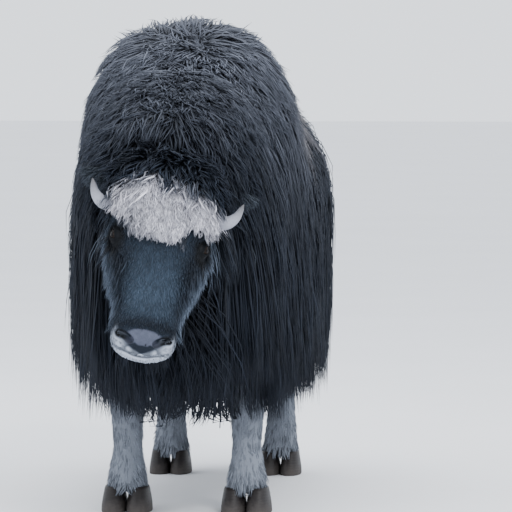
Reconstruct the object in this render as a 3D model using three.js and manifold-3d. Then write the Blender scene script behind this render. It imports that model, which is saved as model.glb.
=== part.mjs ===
// A young muskox standing square on four legs, life size, in millimetres.
// +Z is up, the animal faces -Y and +X is its left. It stands on z = 0.
// Each part of the body is one closed mesh, parted from the next by a thin straight cut.
import * as THREE from "three";
import { mergeVertices } from "three/addons/utils/BufferGeometryUtils.js";
import Module from "manifold-3d";

const wasm = await Module();
wasm.setup();

// Driving dimensions of the animal
const HUMP_TOP = 1000; // top of the hair on the shoulder hump
const HEM = 185; // lowest hair of the skirt
const FORE_LEG_Y = 0; // the fore legs stand at the middle of the shoulder
const HIND_LEG_Y = 690;
const LEG_SPREAD = 122; // middle plane to the middle of each leg
const HEAD_JOINT = new THREE.Vector3(0, -325, 652); // where the head meets the neck
const HEAD_YAW = 8; // degrees, towards the animal's left
const HEAD_ROLL = 10; // degrees, poll towards the animal's left
const EYE_RADIUS = 17;
const GAP = 0.3; // clearance between neighbouring parts
const ORIGIN_SHIFT = new THREE.Vector3(0, -188, 0); // brings the middle of the base to the origin

// Cuts between the parts of the trunk
const NECK_CUT_Y = -150;
const SHOULDER_CUT_Y = 190;
const FLANK_CUT_Y = 530;
const FAR = 3000; // longer than the animal, for cutting boxes

const DEGREE = Math.PI / 180;
const UP = new THREE.Vector3(0, 0, 1);

// Closed geometry to a solid, turned right side out
function solid(geometry) {
  const bare = geometry.index ? geometry.clone() : geometry;
  bare.deleteAttribute("normal");
  bare.deleteAttribute("uv");
  const merged = mergeVertices(bare, 1e-3);
  const triVerts = new Uint32Array(merged.index.array);
  const vertProperties = merged.attributes.position.array;
  const made = new wasm.Manifold(new wasm.Mesh({ numProp: 3, vertProperties, triVerts }));
  if (made.volume() >= 0) return made;
  for (let i = 0; i < triVerts.length; i += 3) {
    [triVerts[i + 1], triVerts[i + 2]] = [triVerts[i + 2], triVerts[i + 1]];
  }
  return new wasm.Manifold(new wasm.Mesh({ numProp: 3, vertProperties, triVerts }));
}

// The largest closed surface of a solid
function largest(made) {
  return made.decompose().reduce((a, b) => (b.volume() > a.volume() ? b : a));
}

const joined = (solids) => wasm.Manifold.union(solids);

// A box between two corners, as a solid
function boxBetween(low, high) {
  const size = new THREE.Vector3().subVectors(high, low);
  const middle = new THREE.Vector3().addVectors(low, high).multiplyScalar(0.5);
  return solid(new THREE.BoxGeometry(size.x, size.y, size.z).translate(middle.x, middle.y, middle.z));
}

const slabAlongY = (from, to, left = -FAR, right = FAR) =>
  boxBetween(new THREE.Vector3(left, from, -FAR), new THREE.Vector3(right, to, FAR));

// A smooth value through a list of control values, t from 0 to 1
function through(values, t) {
  const spans = values.length - 1;
  const at = Math.min(Math.max(t, 0), 1) * spans;
  const i = Math.min(Math.floor(at), spans - 1);
  const f = at - i;
  const a = values[i];
  const b = values[i + 1];
  const before = i > 0 ? values[i - 1] : 2 * a - b;
  const after = i + 2 <= spans ? values[i + 2] : 2 * b - a;
  const slopeA = (b - before) / 2;
  const slopeB = (after - a) / 2;
  const f2 = f * f;
  const f3 = f2 * f;
  return (2 * f3 - 3 * f2 + 1) * a + (f3 - 2 * f2 + f) * slopeA + (3 * f2 - 2 * f3) * b + (f3 - f2) * slopeB;
}

// A body form: oval rings strung along a line in the middle plane.
// Each control is { x, y, z, half, top, bottom, tilt, square }: the ring's middle, its half width,
// its reach above and below, how far it leans (degrees) and how square its outline is.
class Form {
  constructor(controls) {
    this.controls = controls.map((c) => ({ x: 0, tilt: 0, square: 2, ...c }));
  }

  value(name, t) {
    return through(this.controls.map((c) => c[name]), t);
  }

  ring(t) {
    const lean = this.value("tilt", t) * DEGREE;
    return {
      centre: new THREE.Vector3(this.value("x", t), this.value("y", t), this.value("z", t)),
      side: new THREE.Vector3(1, 0, 0),
      up: new THREE.Vector3(0, -Math.sin(lean), Math.cos(lean)),
      half: this.value("half", t),
      top: this.value("top", t),
      bottom: this.value("bottom", t),
      square: this.value("square", t),
    };
  }

  point(t, angle, out = 0) {
    return ringPoint(this.ring(t), angle, out);
  }

  normal(t, angle) {
    const step = 0.01;
    const along = this.point(Math.min(t + step, 1), angle).sub(this.point(Math.max(t - step, 0), angle));
    const round = this.point(t, angle + step).sub(this.point(t, angle - step));
    const made = new THREE.Vector3().crossVectors(round, along).normalize();
    const outward = this.point(t, angle).sub(this.ring(t).centre);
    return made.dot(outward) < 0 ? made.negate() : made;
  }

  // The place along a form that runs along Y at which its ring has this y
  placeOf(y) {
    let low = 0;
    let high = 1;
    for (let i = 0; i < 24; i++) {
      const middle = (low + high) / 2;
      if (this.value("y", middle) * this.heading() < y * this.heading()) low = middle;
      else high = middle;
    }
    return (low + high) / 2;
  }

  heading() {
    return Math.sign(this.controls[this.controls.length - 1].y - this.controls[0].y);
  }

  // A point moved out of the form, or, above its middle line, drawn in to lie near its skin
  settled(p, clearance) {
    const ring = this.ring(this.placeOf(p.y));
    const across = (p.x - ring.centre.x) / ring.half;
    const rise = (p.z - ring.centre.z) / (p.z > ring.centre.z ? ring.top : ring.bottom);
    const power = ring.square;
    const depth = (Math.abs(across) ** power + Math.abs(rise) ** power) ** (1 / power);
    const angle = Math.atan2(
      Math.sign(rise) * Math.abs(rise) ** (power / 2),
      Math.sign(across) * Math.abs(across) ** (power / 2),
    );
    const skin = ringPoint(ring, angle, clearance);
    skin.y = p.y;
    if (depth < 1 + clearance / Math.min(ring.half, ring.top)) return skin;
    return rise > 0 ? p.clone().lerp(skin, 0.75) : p;
  }

  geometry(rows, columns, out = 0) {
    const rings = Array.from({ length: rows }, (_, i) => {
      const ring = this.ring(i / (rows - 1));
      return { ...ring, half: ring.half + out, top: ring.top + out, bottom: ring.bottom + out };
    });
    for (const [end, next] of [[rings[0], rings[1]], [rings[rows - 1], rings[rows - 2]]]) {
      const away = new THREE.Vector3().subVectors(end.centre, next.centre).normalize();
      end.centre.addScaledVector(away, out);
    }
    return ringsGeometry(rings, columns);
  }
}

function ringPoint(ring, angle, out = 0) {
  const power = 2 / ring.square;
  const across = Math.cos(angle);
  const rise = Math.sin(angle);
  const x = (ring.half + out) * Math.sign(across) * Math.abs(across) ** power;
  const reach = (rise >= 0 ? ring.top : ring.bottom) + out;
  const z = reach * Math.sign(rise) * Math.abs(rise) ** power;
  return ring.centre.clone().addScaledVector(ring.side, x).addScaledVector(ring.up, z);
}

// Rings joined into one closed skin, with each end closed at a point, by default the middle of its ring
function ringsGeometry(rings, columns, firstEnd, lastEnd) {
  const rows = rings.length + 1;
  const geometry = new THREE.SphereGeometry(1, columns, rows);
  const { position, uv } = geometry.attributes;
  const middle = (ring) => ring.centre.clone().addScaledVector(ring.up, (ring.top - ring.bottom) / 2);
  const start = firstEnd ?? middle(rings[0]);
  const end = lastEnd ?? middle(rings[rings.length - 1]);
  for (let i = 0; i < position.count; i++) {
    const row = Math.round((1 - uv.getY(i)) * rows);
    const column = Math.round(uv.getX(i) * columns) % columns;
    let p = start;
    if (row === rows) p = end;
    else if (row > 0) p = ringPoint(rings[row - 1], (column / columns) * 2 * Math.PI);
    position.setXYZ(i, p.x, p.y, p.z);
  }
  return geometry;
}

// Trunk under the coat, from the front of the chest to the rump
const trunk = new Form([
  { y: -232, z: 645, half: 66, top: 110, bottom: 120 },
  { y: -150, z: 630, half: 150, top: 248, bottom: 212, square: 2.2 },
  { y: 0, z: 640, half: 190, top: HUMP_TOP - 650, bottom: 262, square: 2.3 },
  { y: 120, z: 640, half: 198, top: 330, bottom: 270, square: 2.4 },
  { y: 260, z: 610, half: 204, top: 272, bottom: 248, square: 2.4 },
  { y: 400, z: 600, half: 207, top: 254, bottom: 242, square: 2.4 },
  { y: 560, z: 600, half: 202, top: 246, bottom: 232, square: 2.4 },
  { y: 700, z: 600, half: 186, top: 228, bottom: 204, square: 2.3 },
  { y: 795, z: 592, half: 156, top: 184, bottom: 160, square: 2.2 },
  { y: 846, z: 585, half: 92, top: 112, bottom: 96 },
]);

// Neck under its mane, from inside the shoulder to the back of the head
const neck = new Form([
  { y: -90, z: 660, half: 168, top: 232, bottom: 232, square: 2.2 },
  { y: -170, z: 662, half: 158, top: 212, bottom: 214, square: 2.2 },
  { y: -250, z: 660, half: 148, top: 190, bottom: 196, square: 2.1 },
  { y: -345, z: 652, half: 122, top: 142, bottom: 150 },
]);

// Head in its own frame: the joint with the neck is at the origin
const head = new Form([
  { y: 0, z: 0, half: 88, top: 88, bottom: 92, tilt: 0 },
  { y: -42, z: -8, half: 98, top: 92, bottom: 96, tilt: 26, square: 2.2 },
  { y: -66, z: -50, half: 99, top: 80, bottom: 90, tilt: 48, square: 2.2 },
  { y: -87, z: -100, half: 96, top: 70, bottom: 82, tilt: 60, square: 2.2 },
  { y: -112, z: -156, half: 78, top: 60, bottom: 70, tilt: 64, square: 2.3 },
  { y: -136, z: -208, half: 59, top: 53, bottom: 60, tilt: 65, square: 2.4 },
  { y: -153, z: -246, half: 58, top: 54, bottom: 58, tilt: 59, square: 2.5 },
  { y: -168, z: -268, half: 61, top: 51, bottom: 50, tilt: 48, square: 2.5 },
  { y: -182, z: -281, half: 54, top: 43, bottom: 41, tilt: 42, square: 2.4 },
  { y: -193, z: -290, half: 34, top: 27, bottom: 27, tilt: 40, square: 2.2 },
  { y: -197, z: -294, half: 12, top: 10, bottom: 10, tilt: 40 },
]);

// Repeatable draws between -1 and 1
function drawsFrom(seed) {
  let state = seed;
  return () => {
    state = (Math.imul(state, 1664525) + 1013904223) >>> 0;
    return (state / 2 ** 32) * 2 - 1;
  };
}

const LOCK_WIDTHS = [0.82, 1, 0.66]; // share of the full width at each ring of a lock
const LOCK_DEPTHS = [1, 0.85, 0.6];
const LOCK_STEPS = [0.22, 0.36, 0.27, 0.15]; // share of the length between rings, and to the tip
const ROOT_DEPTH = 16; // how far a lock's root is sunk in what it grows from

// A lock of hair: a flat blade through a path, pointed at its sunk root and at its tip.
// path has the root, the middle of each ring and the tip, and outward the way its flat side faces.
function lockGeometry(path, outward, width, depth) {
  const rings = LOCK_WIDTHS.map((share, i) => {
    const along = new THREE.Vector3().subVectors(path[i + 2], path[i]).normalize();
    const side = new THREE.Vector3().crossVectors(along, outward[i]).normalize();
    const up = new THREE.Vector3().crossVectors(side, along).normalize();
    const thick = (depth * LOCK_DEPTHS[i]) / 2;
    return { centre: path[i + 1], side, up, half: (width * share) / 2, top: thick, bottom: thick, square: 2 };
  });
  return ringsGeometry(rings, 4, path[0], path[path.length - 1]);
}

// The path of a lock that leaves a form at (t, angle), follows its lie and sags under its weight
function lockOn(form, { t, angle, length, width, depth, lie, lift, weight, flare = 0.12 }) {
  const root = form.point(t, angle);
  const normal = form.normal(t, angle);
  const path = [root.clone().addScaledVector(normal, -ROOT_DEPTH)];
  const outward = [];
  const direction = lie.clone().addScaledVector(normal, flare).normalize();
  const p = root.clone();
  for (const share of LOCK_STEPS) {
    const k = path.length;
    direction.addScaledVector(UP, -weight * (k / LOCK_STEPS.length)).normalize();
    p.addScaledVector(direction, length * share);
    p.copy(form.settled(p, (lift * k) / LOCK_STEPS.length + 3));
    p.z = Math.max(p.z, HEM + (LOCK_STEPS.length - k) * 12);
    path.push(p.clone());
    const ring = form.ring(form.placeOf(p.y));
    const rise = p.z - ring.centre.z;
    const away = new THREE.Vector3(p.x - ring.centre.x, 0, Math.max(rise, 0)).normalize();
    outward.push(rise > 0 ? away.addScaledVector(normal, 0.5).normalize() : away);
  }
  return solid(lockGeometry(path, outward, width, depth));
}

// The lie of the coat at a place on a form: down its side and towards its tail
function lieOn(form, t, angle, tailward) {
  const step = 0.01;
  const before = form.point(Math.max(t - step, 0), angle);
  const tail = form.point(Math.min(t + step, 1), angle).sub(before).normalize();
  if (tail.y < 0) tail.negate();
  const down = form.point(t, angle - step).sub(form.point(t, angle + step)).normalize();
  if (Math.cos(angle) < 0) down.negate();
  return down.addScaledVector(tail, tailward).normalize();
}

// Rows of locks along a form, set on both sides of the body. Each row has an angle in degrees above
// the horizontal, a span along y, a count, and the size, lift, weight and lie of its locks.
function coatRows(form, rows, draw) {
  const locks = [];
  for (const row of rows) {
    for (const side of [1, -1]) {
      for (let i = 0; i < row.count; i++) {
        const y = row.from + ((i + 0.5 + 0.14 * draw()) / row.count) * (row.to - row.from);
        const t = form.placeOf(y);
        const leaning = row.angle + 3 * draw();
        const angle = (side > 0 ? leaning : 180 - leaning) * DEGREE;
        const stagger = i % 2 ? 4 : -4;
        locks.push(
          lockOn(form, {
            ...row,
            t,
            angle,
            lie: lieOn(form, t, angle, row.tailward + 0.08 * draw()),
            length: row.length * (1 + 0.08 * draw()),
            width: row.width * (1 + 0.1 * draw()),
            lift: row.lift + stagger,
          }),
        );
      }
    }
  }
  return locks;
}

const TRUNK_SPAN = { from: -150, to: 822, depth: 17 };
const TRUNK_ROWS = [
  { angle: -40, count: 8, length: 250, width: 142, lift: 8, weight: 1, tailward: 0.05 },
  { angle: -15, count: 8, length: 335, width: 142, lift: 12, weight: 0.9, tailward: 0.08 },
  { angle: 10, count: 8, length: 345, width: 142, lift: 24, weight: 0.9, tailward: 0.12 },
  { angle: 35, count: 8, length: 260, width: 138, lift: 22, weight: 0.75, tailward: 0.25 },
  { angle: 60, count: 7, length: 220, width: 146, lift: 18, weight: 0.6, tailward: 0.5 },
  { angle: 83, count: 5, length: 230, width: 126, lift: 20, weight: 0.3, tailward: 1.6 },
].map((row) => ({ ...TRUNK_SPAN, ...row }));

const NECK_SPAN = { from: -165, to: -352, count: 3, depth: 18, flare: 0.04 };
const NECK_ROWS = [
  { angle: -84, count: 2, length: 240, width: 120, lift: 10, weight: 1, tailward: 0 },
  { angle: -52, count: 2, length: 300, width: 130, lift: 12, weight: 0.9, tailward: 0 },
  { angle: -12, length: 370, width: 110, lift: 16, weight: 0.9, tailward: 0.05 },
  { angle: 24, length: 260, width: 106, lift: 18, weight: 0.85, tailward: 0.1 },
  { angle: 56, length: 200, width: 112, lift: 18, weight: 0.7, tailward: 0.3 },
  { angle: 84, count: 2, length: 170, width: 118, lift: 16, weight: 0.3, tailward: 1.6 },
].map((row) => ({ ...NECK_SPAN, ...row }));

const headPlace = new THREE.Matrix4()
  .makeTranslation(HEAD_JOINT.x, HEAD_JOINT.y, HEAD_JOINT.z)
  .multiply(new THREE.Matrix4().makeRotationZ(HEAD_YAW * DEGREE))
  .multiply(new THREE.Matrix4().makeRotationY(HEAD_ROLL * DEGREE));
const onHead = (geometry) => solid(geometry.applyMatrix4(headPlace));

// Fore leg and hind leg, top to coronet: "top" is the reach forwards and "bottom" the reach backwards
function legForm(side, stations) {
  return new Form(stations.map((s) => ({ ...s, tilt: 90, x: side * (s.x ?? LEG_SPREAD) })));
}
const foreLegStations = [
  { y: 20, z: 440, x: 92, half: 42, top: 66, bottom: 74 },
  { y: 14, z: 370, x: 103, half: 46, top: 58, bottom: 64 },
  { y: 6, z: 300, x: 115, half: 42, top: 46, bottom: 50 },
  { y: 0, z: 245, half: 40, top: 42, bottom: 40 },
  { y: 0, z: 190, half: 33, top: 32, bottom: 34 },
  { y: 0, z: 130, half: 30, top: 30, bottom: 32 },
  { y: -2, z: 88, half: 36, top: 36, bottom: 42 },
  { y: -8, z: 52, half: 40, top: 40, bottom: 38 },
].map((s) => ({ ...s, y: s.y + FORE_LEG_Y }));
const hindLegStations = [
  { y: -16, z: 480, x: 86, half: 42, top: 76, bottom: 76 },
  { y: 8, z: 410, x: 99, half: 46, top: 66, bottom: 66 },
  { y: 38, z: 350, x: 113, half: 42, top: 50, bottom: 52 },
  { y: 46, z: 300, half: 35, top: 38, bottom: 44 },
  { y: 36, z: 240, half: 31, top: 32, bottom: 34 },
  { y: 24, z: 160, half: 29, top: 30, bottom: 32 },
  { y: 12, z: 90, half: 34, top: 35, bottom: 42 },
  { y: 2, z: 52, half: 38, top: 39, bottom: 36 },
].map((s) => ({ ...s, y: s.y + HIND_LEG_Y }));

// A hoof: two rounded toes side by side, joined at the coronet and flat below
const HOOF_HEIGHT = 52;
function hoof(centre, width, length) {
  const toes = [-1, 1].map((side) => {
    const rings = [
      { z: 0, half: width * 0.25, top: length * 0.56, bottom: length * 0.4, y: 0 },
      { z: 18, half: width * 0.26, top: length * 0.53, bottom: length * 0.4, y: 0 },
      { z: HOOF_HEIGHT - GAP, half: width * 0.23, top: length * 0.36, bottom: length * 0.36, y: 2 },
    ].map((r) => ({
      centre: new THREE.Vector3(centre.x + side * width * 0.24, centre.y + r.y, r.z),
      side: new THREE.Vector3(1, 0, 0),
      up: new THREE.Vector3(0, -1, 0),
      half: r.half,
      top: r.top,
      bottom: r.bottom,
      square: 2.3,
    }));
    return solid(ringsGeometry(rings, 10));
  });
  return joined(toes);
}

// Rings of a given reach along a curve, flat side towards "facing"
function sweptRings(curve, count, facing, sizeAt) {
  return Array.from({ length: count }, (_, i) => {
    const t = i / (count - 1);
    const along = curve.getTangentAt(t);
    const side = new THREE.Vector3().crossVectors(along, facing).normalize();
    const up = new THREE.Vector3().crossVectors(side, along).normalize();
    const { half, thick } = sizeAt(t);
    return { centre: curve.getPointAt(t), side, up, half, top: thick, bottom: thick, square: 2 };
  });
}

const curveThrough = (points) => new THREE.CatmullRomCurve3(points.map((p) => new THREE.Vector3(...p)));

// A short horn: out of the woolly brow, sideways and a little down, its tip turned up
const HORN_RADII = [22, 20, 15, 10, 3.5];
function hornGeometry(side, out = 0) {
  const curve = curveThrough([
    [side * 60, -56, -4],
    [side * 92, -68, -24],
    [side * 118, -82, -30],
    [side * 134, -92, -16],
    [side * 142, -96, 10],
  ]);
  const sizeAt = (t) => ({ half: through(HORN_RADII, t) + out, thick: through(HORN_RADII, t) + out });
  return ringsGeometry(sweptRings(curve, 9, UP, sizeAt), 10);
}

// A small furry ear behind the horn, with its cup facing forwards
const EAR_ROOT = [74, -27, 14];
const EAR_TIP = [160, -24, 26];
const EAR_WIDTHS = [15, 24, 28, 25, 17, 5];
const EAR_THICKNESS = 10;
function earGeometry(side, out = 0) {
  const curve = curveThrough([
    [side * EAR_ROOT[0], EAR_ROOT[1], EAR_ROOT[2]],
    [side * 118, -27, 16],
    [side * EAR_TIP[0], EAR_TIP[1], EAR_TIP[2]],
  ]);
  const facing = new THREE.Vector3(0, -1, 0);
  const sizeAt = (t) => ({ half: through(EAR_WIDTHS, t) + out, thick: EAR_THICKNESS * (1 - 0.5 * t) + out });
  return ringsGeometry(sweptRings(curve, 7, facing, sizeAt), 8);
}
function earCup(side) {
  return new THREE.SphereGeometry(1, 8, 6)
    .scale(33, 10, 17)
    .rotateY(side * -8 * DEGREE)
    .translate(side * 122, -41, 18);
}

const EYE_ANGLE = 24 * DEGREE;
const EYE_T = 0.3; // place of the eye along the head
const EYE_SINK = 11; // the eye's centre lies this far inside the head's skin
const LID_THICKNESS = 5;
function onSide(side, t, angle, out) {
  const p = head.point(t, angle, out);
  return new THREE.Vector3(side * p.x, p.y, p.z);
}
const eyeBall = (side, radius, sink = EYE_SINK) => {
  const centre = onSide(side, EYE_T, EYE_ANGLE, -sink);
  return onHead(new THREE.SphereGeometry(radius, 12, 8).translate(centre.x, centre.y, centre.z));
};

// The slit between the lids: a flat almond that points out of the eye
function lidSlit(side) {
  const centre = onSide(side, EYE_T, EYE_ANGLE, -EYE_SINK);
  const outward = onSide(side, EYE_T, EYE_ANGLE, 20).sub(centre).normalize();
  const turn = new THREE.Quaternion().setFromUnitVectors(new THREE.Vector3(side, 0, 0), outward);
  return new THREE.SphereGeometry(1, 14, 8)
    .scale(34, 15, 10)
    .rotateX(side * 26 * DEGREE)
    .applyQuaternion(turn)
    .translate(centre.x + outward.x * 14, centre.y + outward.y * 14, centre.z + outward.z * 14);
}

// A groove or slot cut along places on the head's skin, given as [place along the head, angle in degrees]
function grooveGeometry(places, half, depth) {
  const points = places.map(([t, angle]) => head.point(t, angle * DEGREE).toArray());
  const curve = curveThrough(points);
  const sizeAt = (t) => {
    const share = 0.45 + 0.55 * Math.sin(Math.PI * Math.min(Math.max(t, 0.02), 0.98));
    return { half: half * share, thick: depth * share };
  };
  const facing = new THREE.Vector3(0, -1, -0.3).normalize();
  return ringsGeometry(sweptRings(curve, Math.max(6, places.length * 2), facing, sizeAt), 8);
}
const mirrored = (places) => places.map(([t, angle]) => [t, 180 - angle]);
const NOSTRIL = [
  [0.8, 26],
  [0.845, 40],
  [0.885, 50],
  [0.92, 56],
];
const MOUTH = [
  [0.66, -14],
  [0.74, -12],
  [0.82, -12],
  [0.88, -22],
  [0.925, -52],
  [0.94, -80],
];

// Woolly clumps over the brow, and the longer hair of the cheeks and beard
function headLock({ t, angle, length, width, depth, lie, weight, lift }) {
  const root = head.point(t, angle);
  const normal = head.normal(t, angle);
  const direction = lie.clone().addScaledVector(normal, lift).normalize();
  const path = [root.clone().addScaledVector(normal, -12)];
  const outward = [];
  const p = root.clone();
  for (const share of LOCK_STEPS) {
    direction.addScaledVector(UP, -weight).addScaledVector(normal, -0.18).normalize();
    p.addScaledVector(direction, length * share);
    path.push(p.clone());
    outward.push(normal);
  }
  return onHead(lockGeometry(path, outward, width, depth));
}
function browWool(draw) {
  const clumps = [];
  const rows = [
    { t: 0.05, count: 4, spread: 52 },
    { t: 0.12, count: 5, spread: 56 },
    { t: 0.19, count: 4, spread: 44 },
    { t: 0.25, count: 3, spread: 26 },
  ];
  for (const { t, count, spread } of rows) {
    for (let i = 0; i < count; i++) {
      const share = count > 1 ? (i / (count - 1)) * 2 - 1 : 0;
      const angle = (90 + spread * share + 4 * draw()) * DEGREE;
      const place = Math.max(t + 0.008 * draw(), 0.02);
      const down = head.point(place + 0.02, angle).sub(head.point(place, angle)).normalize();
      const round = head.point(place, angle + 0.05).sub(head.point(place, angle)).normalize();
      const lie = down.addScaledVector(round, 0.55 * share + 0.3 * draw());
      const wool = { length: 60, width: 52, depth: 27, weight: 0.02, lift: 0.5 };
      clumps.push(headLock({ ...wool, t: place, angle, lie }));
    }
  }
  return clumps;
}
function cheekHair(draw) {
  const locks = [];
  const rows = [
    { t: 0.08, angles: [-4, -42], length: 150 },
    { t: 0.22, angles: [-30, -66], length: 130 },
    { t: 0.37, angles: [-52, -90], length: 105 },
    { t: 0.5, angles: [-72], length: 80 },
  ];
  for (const { t, angles, length } of rows) {
    for (const side of [1, -1]) {
      for (const row of angles) {
        if (row === -90 && side < 0) continue;
        const angle = (side > 0 ? row : 180 - row) * DEGREE;
        const lie = new THREE.Vector3(0, 0.25, -1).normalize();
        const size = length * (1 + 0.1 * draw());
        locks.push(headLock({ t, angle, length: size, width: 62, depth: 15, lie, weight: 0.1, lift: 0.3 }));
      }
    }
  }
  return locks;
}

const sides = [["left", 1], ["right", -1]];
const solids = {};
const trunkCore = solid(trunk.geometry(15, 16));
const trunkGrown = solid(trunk.geometry(15, 16, GAP * 1.2));
const trunkCuts = [];

// Legs and hooves, cut off where they enter the trunk
for (const [name, side] of sides) {
  for (const [leg, stations, width, length] of [
    ["fore", foreLegStations, 104, 112],
    ["hind", hindLegStations, 94, 104],
  ]) {
    const form = legForm(side, stations);
    solids[`${leg}_leg_${name}`] = solid(form.geometry(11, 10)).subtract(trunkGrown);
    trunkCuts.push(solid(form.geometry(11, 10, GAP * 1.5)));
    const foot = stations[stations.length - 1];
    solids[`${leg}_hoof_${name}`] = hoof(new THREE.Vector3(side * LEG_SPREAD, foot.y, 0), width, length);
  }
}

// Tail, short and hidden in the hair of the rump
const tail = new Form([
  { y: 822, z: 735, half: 30, top: 25, bottom: 25, tilt: -40 },
  { y: 864, z: 690, half: 34, top: 24, bottom: 24, tilt: -62 },
  { y: 882, z: 620, half: 32, top: 20, bottom: 20, tilt: -84 },
  { y: 884, z: 560, half: 14, top: 9, bottom: 9, tilt: -90 },
]);
solids.tail = solid(tail.geometry(8, 8)).subtract(trunkGrown);
trunkCuts.push(solid(tail.geometry(8, 8, GAP * 1.5)));

// Trunk in six parts: left and right shoulder, flank and hindquarter
const trunkCoat = joined(coatRows(trunk, TRUNK_ROWS, drawsFrom(11))).subtract(joined(trunkCuts));
const trunkSolid = joined([trunkCore, trunkCoat]);
const trunkParts = [
  ["shoulder", NECK_CUT_Y, SHOULDER_CUT_Y],
  ["flank", SHOULDER_CUT_Y, FLANK_CUT_Y],
  ["hindquarter", FLANK_CUT_Y, FAR],
];
for (const [name, from, to] of trunkParts) {
  const length = [from + GAP / 2, to - GAP / 2];
  solids[`${name}_left`] = trunkSolid.intersect(slabAlongY(...length, GAP / 2, FAR));
  solids[`${name}_right`] = trunkSolid.intersect(slabAlongY(...length, -FAR, -GAP / 2));
}

// Neck, between the trunk and the head
const inFrontOfHeadCut = solid(
  new THREE.BoxGeometry(FAR, FAR, FAR).translate(0, -FAR / 2 + GAP, 0).applyMatrix4(headPlace),
);
const neckSolid = joined([solid(neck.geometry(6, 16)), ...coatRows(neck, NECK_ROWS, drawsFrom(29))]);
solids.neck = neckSolid.subtract(inFrontOfHeadCut).intersect(slabAlongY(-FAR, NECK_CUT_Y - GAP / 2));

// Head with lids, nostrils, mouth, wool and beard, and sockets for the eyes
const behindHeadCut = onHead(new THREE.BoxGeometry(FAR, FAR, FAR).translate(0, FAR / 2, 0));
const skullGrown = onHead(head.geometry(18, 18, GAP * 1.2));
const lids = sides.map(([, side]) => eyeBall(side, EYE_RADIUS + LID_THICKNESS, EYE_SINK + 1));
const cuts = [behindHeadCut];
for (const [, side] of sides) {
  cuts.push(onHead(lidSlit(side)));
  cuts.push(eyeBall(side, EYE_RADIUS + GAP * 1.5));
  const slot = side > 0 ? NOSTRIL : mirrored(NOSTRIL);
  cuts.push(onHead(grooveGeometry(slot, 8, 11)));
}
cuts.push(onHead(grooveGeometry([...MOUTH, ...mirrored(MOUTH).reverse()], 3, 7)));
const skull = joined([onHead(head.geometry(18, 18)), ...lids]).subtract(joined(cuts));
const hair = joined([...browWool(drawsFrom(5)), ...cheekHair(drawsFrom(7))]).subtract(behindHeadCut);
const clearance = [];
for (const [name, side] of sides) {
  solids[`eye_${name}`] = eyeBall(side, EYE_RADIUS);
  const ear = onHead(earGeometry(side)).subtract(onHead(earCup(side)));
  solids[`horn_${name}`] = onHead(hornGeometry(side)).subtract(skullGrown);
  solids[`ear_${name}`] = ear.subtract(skullGrown);
  clearance.push(onHead(hornGeometry(side, GAP * 1.5)), onHead(earGeometry(side, GAP * 1.5)));
}
solids.head = joined([skull, hair.subtract(joined(clearance))]);

// Materials by part
const coat = new THREE.MeshStandardMaterial({ color: 0x2b2520, roughness: 0.95, metalness: 0 });
const face = new THREE.MeshStandardMaterial({ color: 0x3a342f, roughness: 0.9, metalness: 0 });
const stocking = new THREE.MeshStandardMaterial({ color: 0xb9b1a6, roughness: 0.9, metalness: 0 });
const keratin = new THREE.MeshStandardMaterial({ color: 0xb7aa97, roughness: 0.55, metalness: 0 });
const hoofHorn = new THREE.MeshStandardMaterial({ color: 0x2a2622, roughness: 0.6, metalness: 0 });
const eyeball = new THREE.MeshStandardMaterial({ color: 0x17100c, roughness: 0.12, metalness: 0 });

function materialOf(name) {
  if (name.startsWith("eye")) return eyeball;
  if (name.startsWith("horn")) return keratin;
  if (name.includes("hoof")) return hoofHorn;
  if (name.includes("leg")) return stocking;
  return name === "head" ? face : coat;
}

const muskox = new THREE.Group();
for (const [name, made] of Object.entries(solids)) {
  const { vertProperties, triVerts } = largest(made).getMesh();
  const geometry = new THREE.BufferGeometry();
  geometry.setAttribute("position", new THREE.BufferAttribute(vertProperties, 3));
  geometry.setIndex(new THREE.BufferAttribute(triVerts, 1));
  const mesh = new THREE.Mesh(geometry, materialOf(name));
  mesh.name = name;
  muskox.add(mesh);
}
muskox.position.copy(ORIGIN_SHIFT);

export default muskox;
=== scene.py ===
"""A young muskox as a still, life-size model: one hide, fur of solid tufts, horns, eyes and hooves."""

import logging
import math
from dataclasses import dataclass, field, replace
from enum import Enum
from typing import Callable, Iterator, Sequence

import bmesh
import bpy
import numpy as np
from mathutils import Matrix, Vector
from mathutils.kdtree import KDTree


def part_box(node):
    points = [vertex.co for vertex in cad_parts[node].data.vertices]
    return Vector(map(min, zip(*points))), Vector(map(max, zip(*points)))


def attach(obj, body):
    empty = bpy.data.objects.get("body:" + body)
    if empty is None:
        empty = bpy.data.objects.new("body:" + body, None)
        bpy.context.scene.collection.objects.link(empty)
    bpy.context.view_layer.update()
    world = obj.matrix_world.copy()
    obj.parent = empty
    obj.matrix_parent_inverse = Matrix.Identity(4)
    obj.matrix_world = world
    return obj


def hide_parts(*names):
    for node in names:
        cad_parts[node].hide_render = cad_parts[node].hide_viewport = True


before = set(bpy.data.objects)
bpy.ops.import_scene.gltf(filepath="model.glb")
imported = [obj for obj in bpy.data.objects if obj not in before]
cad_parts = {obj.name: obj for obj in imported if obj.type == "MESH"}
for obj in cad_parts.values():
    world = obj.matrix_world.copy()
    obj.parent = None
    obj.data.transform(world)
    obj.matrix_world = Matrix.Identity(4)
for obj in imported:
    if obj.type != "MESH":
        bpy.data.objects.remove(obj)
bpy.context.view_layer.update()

LOG = logging.getLogger("muskox")
Array = np.ndarray
Triple = tuple[float, float, float]

# Sizes of the animal in millimetres, as in the solids
MM = 0.001
ORIGIN_SHIFT = (0.0, -188.0, 0.0)
HEAD_JOINT = (0.0, -325.0, 652.0)
HEAD_YAW = 8.0
HEAD_ROLL = 10.0
LEG_SPREAD = 122.0
HIND_LEG_Y = 690.0
HUMP_TOP = 1000.0
EYE_T = 0.3
EYE_ANGLE = math.radians(24)
EYE_SINK = 11.0
SIDES = {"left": 1, "right": -1}

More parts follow.
